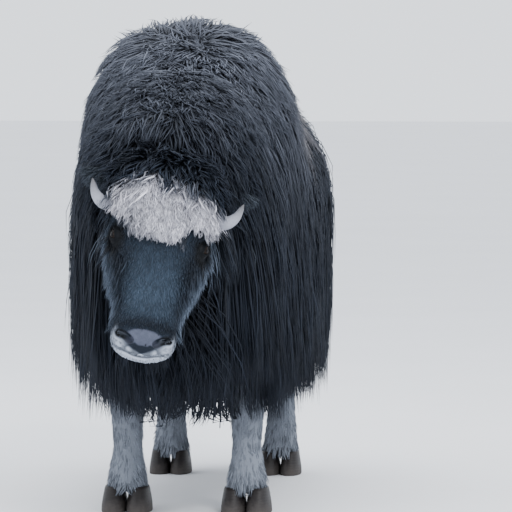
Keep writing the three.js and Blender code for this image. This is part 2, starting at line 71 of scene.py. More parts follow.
# Sizes of the coat in metres: seen from above it is a rounded oblong
HEM = 0.164
LEG_HEM = 0.034
COAT_MIDDLE_Y = 0.10
COAT_HALF_LENGTH = 0.625
COAT_HALF_WIDTH = 0.250
COAT_TOP = 1.020
COAT_CREST = 0.03
COAT_SQUARE = 3.0
SKIN_GAP = 0.0012
ROOT_DEPTH = 0.002
LOCK_TUFTS = 14
UV_TUFT = 0.003

# The photograph is 512 pixels wide; the camera stands low in front, a little to the animal's left
PHOTO_PIXELS = 512.0
SENSOR = 36.0
FOCAL_PIXELS = 3808.0
CAMERA_AZIMUTH = 6.0
CAMERA_RISE = 3.15
CAMERA_DISTANCE = 7.40
AIM_RIGHT = 0.172
AIM_HEIGHT = 0.535
AIM_Y = -0.5


def rgb(red: int, green: int, blue: int) -> Triple:
    """Turns an 8-bit display colour into linear light."""
    shares = [value / 255 for value in (red, green, blue)]
    return tuple(v / 12.92 if v <= 0.04045 else ((v + 0.055) / 1.055) ** 2.4 for v in shares)


class Tint(Enum):
    """The colours of the coat, as linear light."""

    COAT = rgb(24, 29, 38)
    # Painted light: the paler top of the coat, where sky light falls on it
    PAINTED_TOP_LIGHT = rgb(104, 108, 119)
    SADDLE = rgb(196, 190, 190)
    WOOL = rgb(206, 205, 214)
    FACE = rgb(31, 38, 48)
    BRIDGE = rgb(56, 68, 82)
    EDGE = rgb(88, 99, 114)
    LIPS = rgb(176, 184, 198)
    PAD = rgb(78, 82, 97)
    # Painted shade: the hollows before the eyes, a band above the nose pad and the shadow round its rim
    DARK = rgb(24, 29, 37)
    # Painted shade in the nostrils and the groove of the mouth; round the eyes, the dark bare skin of the lids
    SHADE_AND_BARE_SKIN = rgb(9, 10, 12)
    LEG = rgb(116, 122, 132)
    EAR = rgb(52, 58, 66)


def smooth(low: float, high: float, value: Array) -> Array:
    """Rises smoothly from 0 at low to 1 at high, which may be below low."""
    share = np.clip((value - low) / (high - low), 0.0, 1.0)
    return share * share * (3 - 2 * share)


def bell(value: Array, centre: float, spread: float) -> Array:
    """A bell-shaped weight around a centre."""
    return np.exp(-(((value - centre) / spread) ** 2))


def unit(vectors: Array) -> Array:
    """Scales vectors to length 1."""
    return vectors / np.maximum(np.linalg.norm(vectors, axis=-1, keepdims=True), 1e-9)


def blended(colour: Array, layers: Sequence[tuple[Tint, Array]]) -> Array:
    """Lays tints over colours in turn, row by row, each by its weight."""
    for tint, weight in layers:
        colour = colour + (np.asarray(tint.value) - colour) * np.clip(weight, 0, 1)[:, None]
    return colour


def side_name(side: int) -> str:
    """The name of a side: 1 is the animal's left, -1 its right."""
    return "left" if side > 0 else "right"


def read(items: bpy.types.bpy_prop_collection, name: str, width: int = 1, whole: bool = False) -> Array:
    """Reads a property of every item of a mesh's collection.

    Args:
        items: The collection.
        name: The property.
        width: How many numbers each item has.
        whole: Whether they are whole numbers.

    Returns:
        The values, in rows where an item has more than one.
    """
    values = np.empty(len(items) * width, np.int32 if whole else np.float32)
    items.foreach_get(name, values)
    values = values.reshape(-1, width) if width > 1 else values
    return values if whole else values.astype(float)


def write(items: bpy.types.bpy_prop_collection, name: str, values: Array, kind: type = np.float32) -> None:
    """Writes a property of every item."""
    items.foreach_set(name, np.ascontiguousarray(values, kind).ravel())


def store(data: bpy.types.Mesh, name: str, kind: str, values: Array) -> None:
    """Stores a number or a vector for each vertex."""
    layer = data.attributes.new(name, kind, "POINT")
    write(layer.data, "vector" if kind == "FLOAT_VECTOR" else "value", values)


def store_marks(data: bpy.types.Mesh, colours: Array) -> None:
    """Stores the colour of each vertex."""
    layer = data.color_attributes.new("Mark", "FLOAT_COLOR", "POINT")
    write(layer.data, "color", np.concatenate([colours, np.ones((len(colours), 1))], axis=1))


def placed(data: bpy.types.Mesh) -> bpy.types.Object:
    """Links a smooth-shaded mesh to the scene as an object at the origin."""
    data.shade_smooth()
    made = bpy.data.objects.new(data.name, data)
    bpy.context.scene.collection.objects.link(made)
    return made


def finished(mesh: bmesh.types.BMesh, name: str) -> bpy.types.Object:
    """Turns a bmesh into an object with its faces outward, and frees it."""
    bmesh.ops.recalc_face_normals(mesh, faces=mesh.faces[:])
    data = bpy.data.meshes.new(name)
    mesh.to_mesh(data)
    mesh.free()
    return placed(data)


def loft(mesh: bmesh.types.BMesh, rings: Sequence[Sequence[Array]]) -> None:
    """Adds a closed skin: a circle moved to each ring's places, bridged to the last, with capped ends."""
    previous: list[bmesh.types.BMEdge] = []
    for row, places in enumerate(rings):
        made = bmesh.ops.create_circle(mesh, cap_ends=False, segments=len(places), radius=1)["verts"]
        for vert, place in zip(made, places):
            vert.co = place
        edges = list({edge for vert in made for edge in vert.link_edges})
        if previous:
            bmesh.ops.bridge_loops(mesh, edges=previous + edges)
        if row in (0, len(rings) - 1):
            bmesh.ops.contextual_create(mesh, geom=edges)
        previous = edges


@dataclass(frozen=True)
class Station:
    """One oval ring of a body form, in millimetres and degrees."""

    y: float
    z: float
    half: float
    top: float
    bottom: float
    tilt: float = 0.0
    square: float = 2.0
    x: float = 0.0


class Curve:
    """A smooth line through a few places, in metres."""

    STEP = 0.01

    def __init__(self, places: Sequence[Array]) -> None:
        """Keeps the places."""
        self.places = np.array(places, float)

    def at(self, t: float | Array) -> Array:
        """Points along the line, at places from 0 to 1."""
        spans = len(self.places) - 1
        at = np.clip(np.asarray(t, float), 0, 1) * spans
        i = np.minimum(np.floor(at).astype(int), spans - 1)
        f = (at - i)[..., None]
        a, b = self.places[i], self.places[i + 1]
        before = np.where((i > 0)[..., None], self.places[np.maximum(i - 1, 0)], 2 * a - b)
        after = np.where((i + 2 <= spans)[..., None], self.places[np.minimum(i + 2, spans)], 2 * b - a)
        m0, m1 = (b - before) / 2, (after - a) / 2
        return (
            (2 * f**3 - 3 * f**2 + 1) * a
            + (f**3 - 2 * f**2 + f) * m0
            + (3 * f**2 - 2 * f**3) * b
            + (f**3 - f**2) * m1
        )

    def along(self, t: float) -> Array:
        """The line's direction."""
        return unit(self.at(min(t + self.STEP, 1)) - self.at(max(t - self.STEP, 0)))

    def gap(self, points: Array, samples: int = 60) -> tuple[Array, Array]:
        """How far points are from the line, and where along it they are nearest."""
        along = np.linspace(0, 1, samples)
        gap = np.linalg.norm(points[:, None, :] - self.at(along)[None], axis=2)
        nearest = np.argmin(gap, axis=1)
        return gap[np.arange(len(points)), nearest], along[nearest]


class Form:
    """A body form: oval rings strung through stations, in the same way as the solids."""

    MEASURES = ("x", "y", "z", "half", "top", "bottom", "tilt", "square")
    MARGIN = 0.06
    COARSE = 5
    BATCH = 50000
    TRIES = 4
    LEAST_PACE = 30
    LARGEST_STEP = 0.03

    def __init__(self, stations: Sequence[Station], place: Matrix | None = None) -> None:
        """Keeps the stations as arrays.

        Args:
            stations: Its rings in order.
            place: Where its own frame stands, in metres; None for the body's frame.
        """
        self.steps = np.linspace(0, 1, 401)
        knots = np.array([[getattr(s, n) for n in self.MEASURES] for s in stations], float)
        self.table = dict(zip(self.MEASURES, Curve(knots).at(self.steps).T))
        shift = Matrix.Translation(Vector(ORIGIN_SHIFT) * MM)
        self.place = np.array(shift @ (place or Matrix.Identity(4)))
        self.spine = self.centre(self.steps)
        lean = np.radians(self.table["tilt"])
        ahead = np.stack([np.zeros_like(lean), np.cos(lean), np.sin(lean)], axis=-1)
        self.pace = np.sum(np.gradient(self.spine, self.steps, axis=0) * ahead, axis=1)
        widest = max(self.table[n].max() for n in ("half", "top", "bottom")) * MM + self.MARGIN
        centres = self.to_world(self.spine)
        self.low, self.high = centres.min(axis=0) - widest, centres.max(axis=0) + widest

    def value(self, name: str, t: Array) -> Array:
        """A smooth measure through the stations, at places from 0 to 1."""
        return np.interp(t, self.steps, self.table[name])

    def centre(self, t: Array) -> Array:
        """The middle line in the form's own frame, in millimetres."""
        return np.stack([self.value(n, t) for n in ("x", "y", "z")], axis=-1)

    def up(self, t: Array) -> Array:
        """The way each ring's top points, in the form's own frame."""
        lean = np.radians(self.value("tilt", t))
        return np.stack([np.zeros_like(lean), -np.sin(lean), np.cos(lean)], axis=-1)

    def to_world(self, local: Array) -> Array:
        """Carries millimetres of the form's frame to metres of the model's."""
        return local * MM @ self.place[:3, :3].T + self.place[:3, 3]

    def to_local(self, world: Array) -> Array:
        """Carries metres of the model to millimetres of the form's frame."""
        return (world - self.place[:3, 3]) @ self.place[:3, :3] / MM

    def reach(self, rise: Array, t: Array) -> Array:
        """How far a ring reaches up, or down where the rise is below 0."""
        return np.where(rise >= 0, self.value("top", t), self.value("bottom", t))

    def point(self, t: Array, angle: Array, out: float | Array = 0.0) -> Array:
        """Points on the form's skin.

        Args:
            t: Places along the form.
            angle: Angles round it, from its left side over its top.
            out: How far outside the skin, in millimetres.

        Returns:
            The points in metres.
        """
        t, angle = np.broadcast_arrays(np.asarray(t, float), np.asarray(angle, float))
        power = 2 / self.value("square", t)
        across, rise = np.cos(angle), np.sin(angle)
        reach = self.reach(rise, t) + out
        x = (self.value("half", t) + out) * np.sign(across) * np.abs(across) ** power
        z = reach * np.sign(rise) * np.abs(rise) ** power
        local = self.centre(t) + self.up(t) * z[..., None]
        local[..., 0] += x
        return self.to_world(local)

    def locate(self, world: Array) -> tuple[Array, Array, Array]:
        """Finds where points lie along and round the form.

        Args:
            world: Points in metres.

        Returns:
            The place along, the angle round, and the depth, which is 1 on the skin.
        """
        local = self.to_local(world)
        coarse = self.spine[::self.COARSE]
        t = np.empty(len(local))
        for start in range(0, len(local), self.BATCH):
            part = slice(start, start + self.BATCH)
            gap = np.sum(coarse**2, axis=1) - 2 * local[part] @ coarse.T
            t[part] = self.steps[::self.COARSE][np.argmin(gap, axis=1)]
        for _ in range(self.TRIES):
            pace = np.interp(t, self.steps, self.pace)
            pace = np.where(np.abs(pace) < self.LEAST_PACE, np.copysign(self.LEAST_PACE, pace), pace)
            step = np.clip(self.past(local, t) / pace, -self.LARGEST_STEP, self.LARGEST_STEP)
            t = np.clip(t + step, 0, 1)
        off = local - self.centre(t)
        rise = np.sum(off * self.up(t), axis=1)
        across = off[:, 0] / self.value("half", t)
        rise = rise / self.reach(rise, t)
        power = self.value("square", t)
        depth = (np.abs(across) ** power + np.abs(rise) ** power) ** (1 / power)
        round_rise, round_across = (np.sign(v) * np.abs(v) ** (power / 2) for v in (rise, across))
        return t, np.arctan2(round_rise, round_across), depth

    def past(self, local: Array, t: Array) -> Array:
        """How far points of the form's frame lie ahead of their rings' planes, in millimetres."""
        lean = np.radians(self.value("tilt", t))
        off = local - self.centre(t)
        return off[:, 1] * np.cos(lean) + off[:, 2] * np.sin(lean)

    def within(self, points: Array) -> Array:
        """Whether points are in the box round the form."""
        return np.all((points > self.low) & (points < self.high), axis=1)

    def build(self, mesh: bmesh.types.BMesh, rows: int, columns: int) -> None:
        """Adds the closed form to a bmesh, as so many rings of so many corners."""
        angles = np.linspace(0, 2 * math.pi, columns, endpoint=False)
        loft(mesh, [self.point(np.full(columns, row / (rows - 1)), angles) for row in range(rows)])


HEAD_PLACE = (
    Matrix.Translation(Vector(HEAD_JOINT) * MM)
    @ Matrix.Rotation(math.radians(HEAD_YAW), 4, "Z")
    @ Matrix.Rotation(math.radians(HEAD_ROLL), 4, "Y")
)
TRUNK = Form([
    Station(-232, 645, 66, 110, 120),
    Station(-150, 630, 152, 242, 212, 0, 2.4),
    Station(0, 640, 192, HUMP_TOP - 672, 262, 0, 2.7),
    Station(120, 640, 200, 310, 270, 0, 2.7),
    Station(260, 610, 204, 262, 248, 0, 2.5),
    Station(400, 600, 207, 248, 242, 0, 2.4),
    Station(560, 600, 202, 246, 232, 0, 2.4),
    Station(700, 600, 186, 228, 204, 0, 2.3),
    Station(795, 592, 156, 184, 160, 0, 2.2),
    Station(846, 585, 92, 112, 96),
])
NECK = Form([
    Station(-90, 660, 168, 232, 232, 0, 2.2),
    Station(-170, 662, 158, 212, 214, 0, 2.2),
    Station(-250, 660, 148, 190, 196, 0, 2.1),
    Station(-345, 652, 122, 142, 150),
])
HEAD = Form([
    Station(0, 0, 88, 88, 92),
    Station(-42, -8, 98, 92, 96, 26, 2.2),
    Station(-66, -50, 99, 80, 90, 48, 2.2),
    Station(-87, -100, 96, 70, 82, 60, 2.2),
    Station(-112, -156, 78, 60, 70, 64, 2.3),
    Station(-136, -208, 59, 53, 60, 65, 2.4),
    Station(-153, -246, 58, 54, 58, 59, 2.5),
    Station(-168, -268, 61, 51, 50, 48, 2.5),
    Station(-182, -281, 54, 43, 41, 42, 2.4),
    Station(-193, -290, 34, 27, 27, 40, 2.2),
    Station(-197, -294, 12, 10, 10, 40),
], HEAD_PLACE)
TAIL = Form([
    Station(822, 735, 30, 25, 25, -40),
    Station(864, 690, 34, 24, 24, -62),
    Station(882, 620, 32, 20, 20, -84),
    Station(884, 560, 14, 9, 9, -90),
])

# Each ring of a leg: its y, z and x, half width, reach forwards and reach backwards
FORE_LEG = [
    (20, 440, 92, 42, 66, 74), (14, 370, 103, 46, 58, 64), (6, 300, 115, 42, 46, 50),
    (0, 245, LEG_SPREAD, 40, 42, 40), (0, 190, LEG_SPREAD, 33, 32, 34), (0, 130, LEG_SPREAD, 30, 30, 32),
    (-2, 88, LEG_SPREAD, 36, 36, 42), (-8, 52, LEG_SPREAD, 40, 40, 38),
]
HIND_LEG = [
    (-16, 480, 86, 42, 76, 76), (8, 410, 99, 46, 66, 66), (38, 350, 113, 42, 50, 52),
    (46, 300, LEG_SPREAD, 35, 38, 44), (36, 240, LEG_SPREAD, 31, 32, 34), (24, 160, LEG_SPREAD, 29, 30, 32),
    (12, 90, LEG_SPREAD, 34, 35, 42), (2, 52, LEG_SPREAD, 38, 39, 36),
]
LEGS = {
    f"{leg}_leg_{side}": Form([Station(at + y, z, *sizes, 90, 2, sign * x) for y, z, x, *sizes in rows])
    for leg, at, rows in (("fore", 0.0, FORE_LEG), ("hind", HIND_LEG_Y, HIND_LEG))
    for side, sign in SIDES.items()
}
FORMS: dict[str, Form] = {"trunk": TRUNK, "neck": NECK, "head": HEAD, "tail": TAIL, **LEGS}
EARS = {f"ear_{side}": sign for side, sign in SIDES.items()}
REGIONS = [*FORMS, *EARS]

# Rings of each form and corners of each ring
RINGS = {"trunk": (46, 64), "neck": (16, 56), "head": (60, 56), "tail": (18, 20)}
LEG_RINGS = (34, 28)

# Places along the head with their angles in degrees, on its left side
NOSTRIL = [(0.785, 26), (0.82, 37), (0.855, 45), (0.885, 47)]
MOUTH = [(0.68, -18), (0.76, -15), (0.84, -12), (0.90, -11), (0.95, -20), (0.98, -42)]
MOUTH_SAMPLES = 120


def head_point(x: float, y: float, z: float) -> Array:
    """A place of the head's own frame, in millimetres, carried to the model."""
    return HEAD.to_world(np.array([[x, y, z]], float))[0]


def on_head(places: Sequence[tuple[float, float]], side: int) -> Curve:
    """A line over one side of the head's skin."""
    angles = [math.radians(a if side > 0 else 180 - a) for _, a in places]
    return Curve([HEAD.point(t, a) for (t, _), a in zip(places, angles)])


def nostril_gap(points: Array, side: int) -> tuple[Array, Array]:
    """How far points are from a nostril's middle line, and where along it they are nearest."""
    return on_head(NOSTRIL, side).gap(points)


def mouth_gap(points: Array) -> tuple[Array, Array]:
    """The same for the line of the mouth, from its left corner round the front to the right one."""
    line = Curve(np.concatenate([on_head(MOUTH, 1).places, on_head(MOUTH, -1).places[::-1]]))
    return line.gap(points, MOUTH_SAMPLES)


def steps_through(values: Sequence[float], t: float) -> float:
    """A value drawn between evenly spaced ones."""
    return float(np.interp(t * (len(values) - 1), range(len(values)), values))


def swept(
    mesh: bmesh.types.BMesh, curve: Curve, facing: Array, sizes: Callable[[float], tuple[float, float]],
    rows: int, columns: int,
) -> None:
    """Adds a closed tube of oval rings along a curve.

    Args:
        mesh: The bmesh to add to.
        curve: The middle line.
        facing: The way the flat side faces.
        sizes: The half width and half thickness at a place along it, in metres.
        rows: How many rings.
        columns: How many corners each ring has.
    """
    rings = []
    turns = [2 * math.pi * i / columns for i in range(columns)]
    for t in (row / (rows - 1) for row in range(rows)):
        centre, along = curve.at(t), curve.along(t)
        side = unit(np.cross(along, facing))
        rise = unit(np.cross(side, along))
        half, thick = sizes(t)
        rings.append([centre + side * (half * math.cos(a)) + rise * (thick * math.sin(a)) for a in turns])
    loft(mesh, rings)


@dataclass(frozen=True)
class Ear:
    """A small furry ear, with its cup facing forwards; sizes in millimetres of the head's frame."""

    side: int
    widths: tuple[float, ...] = (15, 24, 28, 25, 17, 6)
    thickness: float = 10.0
    rows: int = 9
    columns: int = 16
    start: float = 104.0
    span: float = 56.0
    middle_y: float = -26.0
    axis_z: float = 18.0
    middle_z: float = 20.0
    half_y: float = 12.0
    half_z: float = 28.0
    past_tip: float = 1.1
    cup_at: tuple[float, float] = (124, 19)
    cup_half: tuple[float, float] = (30, 15)
    cup_face: float = -25.0
    cup_depth: float = 9.0

    def curve(self) -> Curve:
        """The ear's middle line, root to tip."""
        s = self.side
        return Curve([head_point(s * 74, -27, 14), head_point(s * 118, -27, 16), head_point(s * 160, -24, 26)])

    def build(self, mesh: bmesh.types.BMesh) -> None:
        """Adds the ear to the hide's bmesh."""
        front = HEAD.place[:3, :3] @ np.array([0.0, -1.0, 0.0])
        swept(
            mesh, self.curve(), front,
            lambda t: (steps_through(self.widths, t) * MM, self.thickness * (1 - 0.4 * t) * MM),
            self.rows, self.columns,
        )

    def locate(self, points: Array) -> tuple[Array, Array, Array]:
        """Place, angle and distance of points from the ear, which takes those past its root."""
        x, y, z = HEAD.to_local(points).T
        t = (self.side * x - self.start) / self.span
        off_y, off_z = np.abs(y - self.middle_y) - self.half_y, np.abs(z - self.middle_z) - self.half_z
        off = np.hypot(np.maximum(off_y, 0), np.maximum(off_z, 0))
        angle = np.arctan2(z - self.axis_z, -(y - self.middle_y))
        return np.clip(t, 0, 1), angle, np.where((t > 0) & (t < self.past_tip), off * MM, np.inf)

    def press_cup(self, local: Array, mine: Array) -> None:
        """Presses the cup into the front of the ear, at the points of the head's frame that are its own."""
        across = (self.side * local[:, 0] - self.cup_at[0]) / self.cup_half[0]
        rise = (local[:, 2] - self.cup_at[1]) / self.cup_half[1]
        bowl = np.maximum(1 - across**2 - rise**2, 0)
        local[:, 1] += np.where(mine & (local[:, 1] < self.cup_face), self.cup_depth * bowl, 0)


class Patch:
    """Where each region lies in the unwrapped picture of the hide."""

    PLACES = {
        "trunk": (0.02, 0.02, 0.46, 0.62),
        "neck": (0.52, 0.02, 0.18, 0.62),
        "head": (0.74, 0.02, 0.24, 0.62),
        "fore_leg_left": (0.02, 0.68, 0.14, 0.28),
        "fore_leg_right": (0.19, 0.68, 0.14, 0.28),
        "hind_leg_left": (0.36, 0.68, 0.14, 0.28),
        "hind_leg_right": (0.53, 0.68, 0.14, 0.28),
        "tail": (0.70, 0.68, 0.08, 0.28),
        "ear_left": (0.81, 0.68, 0.08, 0.28),
        "ear_right": (0.91, 0.68, 0.07, 0.28),
    }

    @staticmethod
    def turn(angle: Array) -> Array:
        """An angle as a share of a turn, from the underside."""
        return ((angle + math.pi / 2) / (2 * math.pi)) % 1.0

    @classmethod
    def uv(cls, region: str, t: Array, turn: Array) -> Array:
        """Places on the unwrap, from places along a region and shares of a turn round it."""
        x, y, width, height = cls.PLACES[region]
        return np.stack([x + np.clip(t, 0, 1) * width, y + turn * height], axis=-1)

    @staticmethod
    def store(data: bpy.types.Mesh, uv: Array) -> None:
        """Stores an unwrapped place for each corner."""
        write(data.uv_layers.new(name="OFBake").data, "uv", uv)


@dataclass
class Site:
    """Where points of the hide lie: their region, place along it and angle round it."""

    points: Array
    region: Array
    t: Array
    angle: Array
    head_t: Array = field(init=False)
    head_angle: Array = field(init=False)

    def __post_init__(self) -> None:
        """Places every point on the head's form as well, for its markings."""
        self.head_t, self.head_angle = np.zeros(len(self.points)), np.zeros(len(self.points))
        near = HEAD.within(self.points)
        if near.any():
            self.head_t[near], self.head_angle[near], _ = HEAD.locate(self.points[near])

    @property
    def upper(self) -> Array:
        """How high each point lies round the head, from -1 below to 1 on top."""
        return np.sin(self.head_angle)

    @property
    def rise(self) -> Array:
        """The same as an angle above the head's side, in degrees."""
        return np.degrees(np.arcsin(np.clip(self.upper, -1, 1)))

    def within(self, *names: str) -> Array:
        """Whether each point is in one of the regions."""
        return np.isin(self.region, [REGIONS.index(n) for n in names])

    @classmethod
    def of(cls, points: Array) -> "Site":
        """Finds the region of each point, in metres, as the form whose skin is nearest."""
        count = len(points)
        best, region = np.full(count, np.inf), np.zeros(count, int)
        t_best, angle_best = np.zeros(count), np.zeros(count)
        for index, name in enumerate(REGIONS):
            form = FORMS.get(name, HEAD)
            chosen = np.nonzero(form.within(points))[0]
            if not len(chosen):
                continue
            here = points[chosen]
            if name in EARS:
                t, angle, gap = Ear(EARS[name]).locate(here)
            else:
                t, angle, depth = form.locate(here)
                beside = np.abs(depth - 1) * form.value("half", t)
                gap = np.hypot(beside, form.past(form.to_local(here), t)) * MM + 0.004 * (name == "neck")
            near = gap < best[chosen]
            region[chosen[near]] = index
            for kept, value in ((best, gap), (t_best, t), (angle_best, angle)):
                kept[chosen[near]] = value[near]
        return cls(points, region, t_best, angle_best)


# Numbers that scatter the corners of the noise's cells
CELL_PRIMES = (73856093, 19349663, 83492791)
SEED_PRIME = 2654435761
MIX_PRIME = 1274126177
LARGEST = 0x7FFFFFFF


def value_noise(points: Array, scale: float, seed: int) -> Array:
    """Smooth repeatable noise.

    Args:
        points: Points in metres.
        scale: Cells in each metre.
        seed: Which noise.

    Returns:
        Values between -1 and 1.
    """
    at = points * scale + seed * 17.31
    cell = np.floor(at).astype(np.int64)
    f = at - cell
    f = f * f * (3 - 2 * f)
    total = np.zeros(len(points))
    for corner in range(8):
        step = np.array([corner & 1, corner >> 1 & 1, corner >> 2 & 1])
        key = (cell + step) * np.array(CELL_PRIMES)
        mixed = (key[:, 0] ^ key[:, 1] ^ key[:, 2]) + seed * SEED_PRIME
        mixed = (mixed ^ (mixed >> 13)) * MIX_PRIME & LARGEST
        weight = np.prod(np.where(step, f, 1 - f), axis=1)
        total += weight * (mixed / LARGEST * 2 - 1)
    return total


class Markings:
    """The colours of the animal, the same for its skin and its coat."""

    PAD_T = 0.862
    PAD_LENGTH = 0.078
    PAD_HALF = 33
    PAD_SQUARE = 2.6

    @staticmethod
    def colour(site: Site) -> Array:
        """The linear colour at each point, one row for each."""
        p = site.points
        broad = value_noise(p, 9, 3)
        high = p[:, 2] + 0.02 * broad
        back = site.within("trunk") * bell(p[:, 1], 0.16, 0.15) * smooth(0.80, 0.87, high)
        body = blended(np.tile(np.array(Tint.COAT.value), (len(p), 1)), [
            # painted sky light: the body paler towards its top
            (Tint.PAINTED_TOP_LIGHT, 0.55 * smooth(0.72, 0.97, p[:, 2] + 0.03 * broad)),
            (Tint.SADDLE, 0.9 * back),
            (Tint.LEG, site.within(*LEGS) * smooth(0.36, 0.25, high)),
        ])
        return blended(body, Markings.on_face(site))

    @staticmethod
    def on_face(site: Site) -> list[tuple[Tint, Array]]:
        """The markings of the head, with painted shade in its hollows, nostrils and mouth and round its nose pad.

        Args:
            site: Where the points lie.

        Returns:
            Each tint with its weight, in the order that they are laid.
        """
        p, t, upper = site.points, site.head_t, site.upper
        head = site.within("head", *EARS).astype(float)
        face = head * smooth(0.08, 0.16, t)
        fine, brow = value_noise(p, 60, 7), Markings.brow(site)
        edge = face * bell(upper, -0.05, 0.28) * smooth(0.16, 0.26, t) * smooth(0.7, 0.5, t)
        streak = value_noise(p * [1.5, 1.0, 0.3], 90, 13) + 0.6 * value_noise(p, 30, 17)
        # painted shade on the brow's wool, low on the animal's right
        painted_brow_shade = bell(t, 0.27, 0.05) * bell(np.degrees(site.head_angle), 124, 17)
        # painted shade: a band above the nose pad and the hollows in front of the eyes
        shade = bell(t, 0.70, 0.07) * smooth(-0.2, 0.3, upper) + Markings.eye_hollow_shade(site)
        rise = site.rise + 3 * fine
        below = smooth(7, -5, rise - np.interp(t, *np.array(MOUTH).T))
        beside = 0.8 * smooth(0.64, 0.78, t) * smooth(38, 12, rise + 5 * fine)
        pad, across = Markings.nose_pad(site)
        # painted shadow round the lower rim and the front of the nose pad
        ring = bell(pad, 1.16, 0.13) * smooth(0.86, 0.92, t)
        tip = smooth(1.0, 1.1, pad) * smooth(26, 15, across) * smooth(0.84, 0.90, t)
        on_pad = head * smooth(1.16, 0.84, pad + 0.06 * fine)
        layers = [
            (Tint.FACE, face * smooth(-0.55, 0.1, upper)),
            (Tint.BRIDGE, face * smooth(0.35, 1.0, upper) * bell(t, 0.48, 0.14)),
            (Tint.EDGE, (0.6 + 0.3 * smooth(-0.02, 0.04, p[:, 0])) * edge),
            (Tint.WOOL, head * brow * (0.86 + 0.24 * streak - 0.4 * painted_brow_shade)),
            (Tint.DARK, 0.85 * face * (1 - 0.9 * brow) * shade),
            (Tint.LIPS, head * np.maximum(smooth(0.68, 0.78, t) * below, beside)),
            # painted shadow under the nose pad
            (Tint.DARK, 0.72 * head * (np.maximum(ring, tip) * (1 - below))),
            (Tint.PAD, on_pad * (0.86 + 0.14 * value_noise(p, 160, 19))),
            # painted shade in the groove of the mouth
            (Tint.SHADE_AND_BARE_SKIN, 0.9 * head * smooth(0.0055, 0.0025, mouth_gap(p)[0])),
        ]
        for side in SIDES.values():
            # painted shade in the nostrils, and the dark bare skin round each eye
            layers.append((Tint.SHADE_AND_BARE_SKIN, head * smooth(0.011, 0.006, nostril_gap(p, side)[0])))
            layers.append((Tint.SHADE_AND_BARE_SKIN, 0.9 * head * smooth(0.036, 0.022, Eye(side).gap(p))))
        return [*layers, (Tint.EAR, site.within(*EARS).astype(float))]

    @classmethod
    def nose_pad(cls, site: Site) -> tuple[Array, Array]:
        """How far each point is from the middle of the nose pad, whose edge is at 1, and across the nose in mm."""
        across = np.abs(HEAD.to_local(site.points)[:, 0])
        along = np.abs(site.head_t - cls.PAD_T) / cls.PAD_LENGTH
        gap = ((across / cls.PAD_HALF) ** cls.PAD_SQUARE + along**cls.PAD_SQUARE) ** (1 / cls.PAD_SQUARE)
        return gap + 2 * (site.upper < 0), across

    @staticmethod
    def eye_hollow_shade(site: Site) -> Array:
        """How far each point is in the painted shade of the hollow in front of an eye."""
        return bell(site.head_t, 0.355, 0.075) * bell(site.rise, 36, 21)

    @staticmethod
    def brow(site: Site) -> Array:
        """How far each point is within the pale wool of the brow."""
        fine, broad = value_noise(site.points, 60, 7), value_noise(site.points, 26, 11)
        t = site.head_t + 0.010 * fine + 0.014 * broad
        middle = np.abs(np.degrees(site.head_angle) - 90) + 7 * fine + 9 * broad
        reach = 66 - 46 * smooth(0.18, 0.29, t) - 26 * smooth(0.15, 0.09, t)
        return smooth(reach + 10, reach - 8, middle) * smooth(0.125, 0.17, t) * smooth(0.315, 0.272, t)

    @staticmethod
    def haired(site: Site) -> Array:
        """How far each point bears hair: not on the lids, the nose pad or the line of the lips."""
        share = smooth(0.95, 1.1, Markings.nose_pad(site)[0])
        for side in SIDES.values():
            share = share * smooth(0.0185, 0.0208, Eye(side).gap(site.points))
            share = share * smooth(0.009, 0.014, nostril_gap(site.points, side)[0])
        return share * smooth(0.002, 0.005, mouth_gap(site.points)[0])


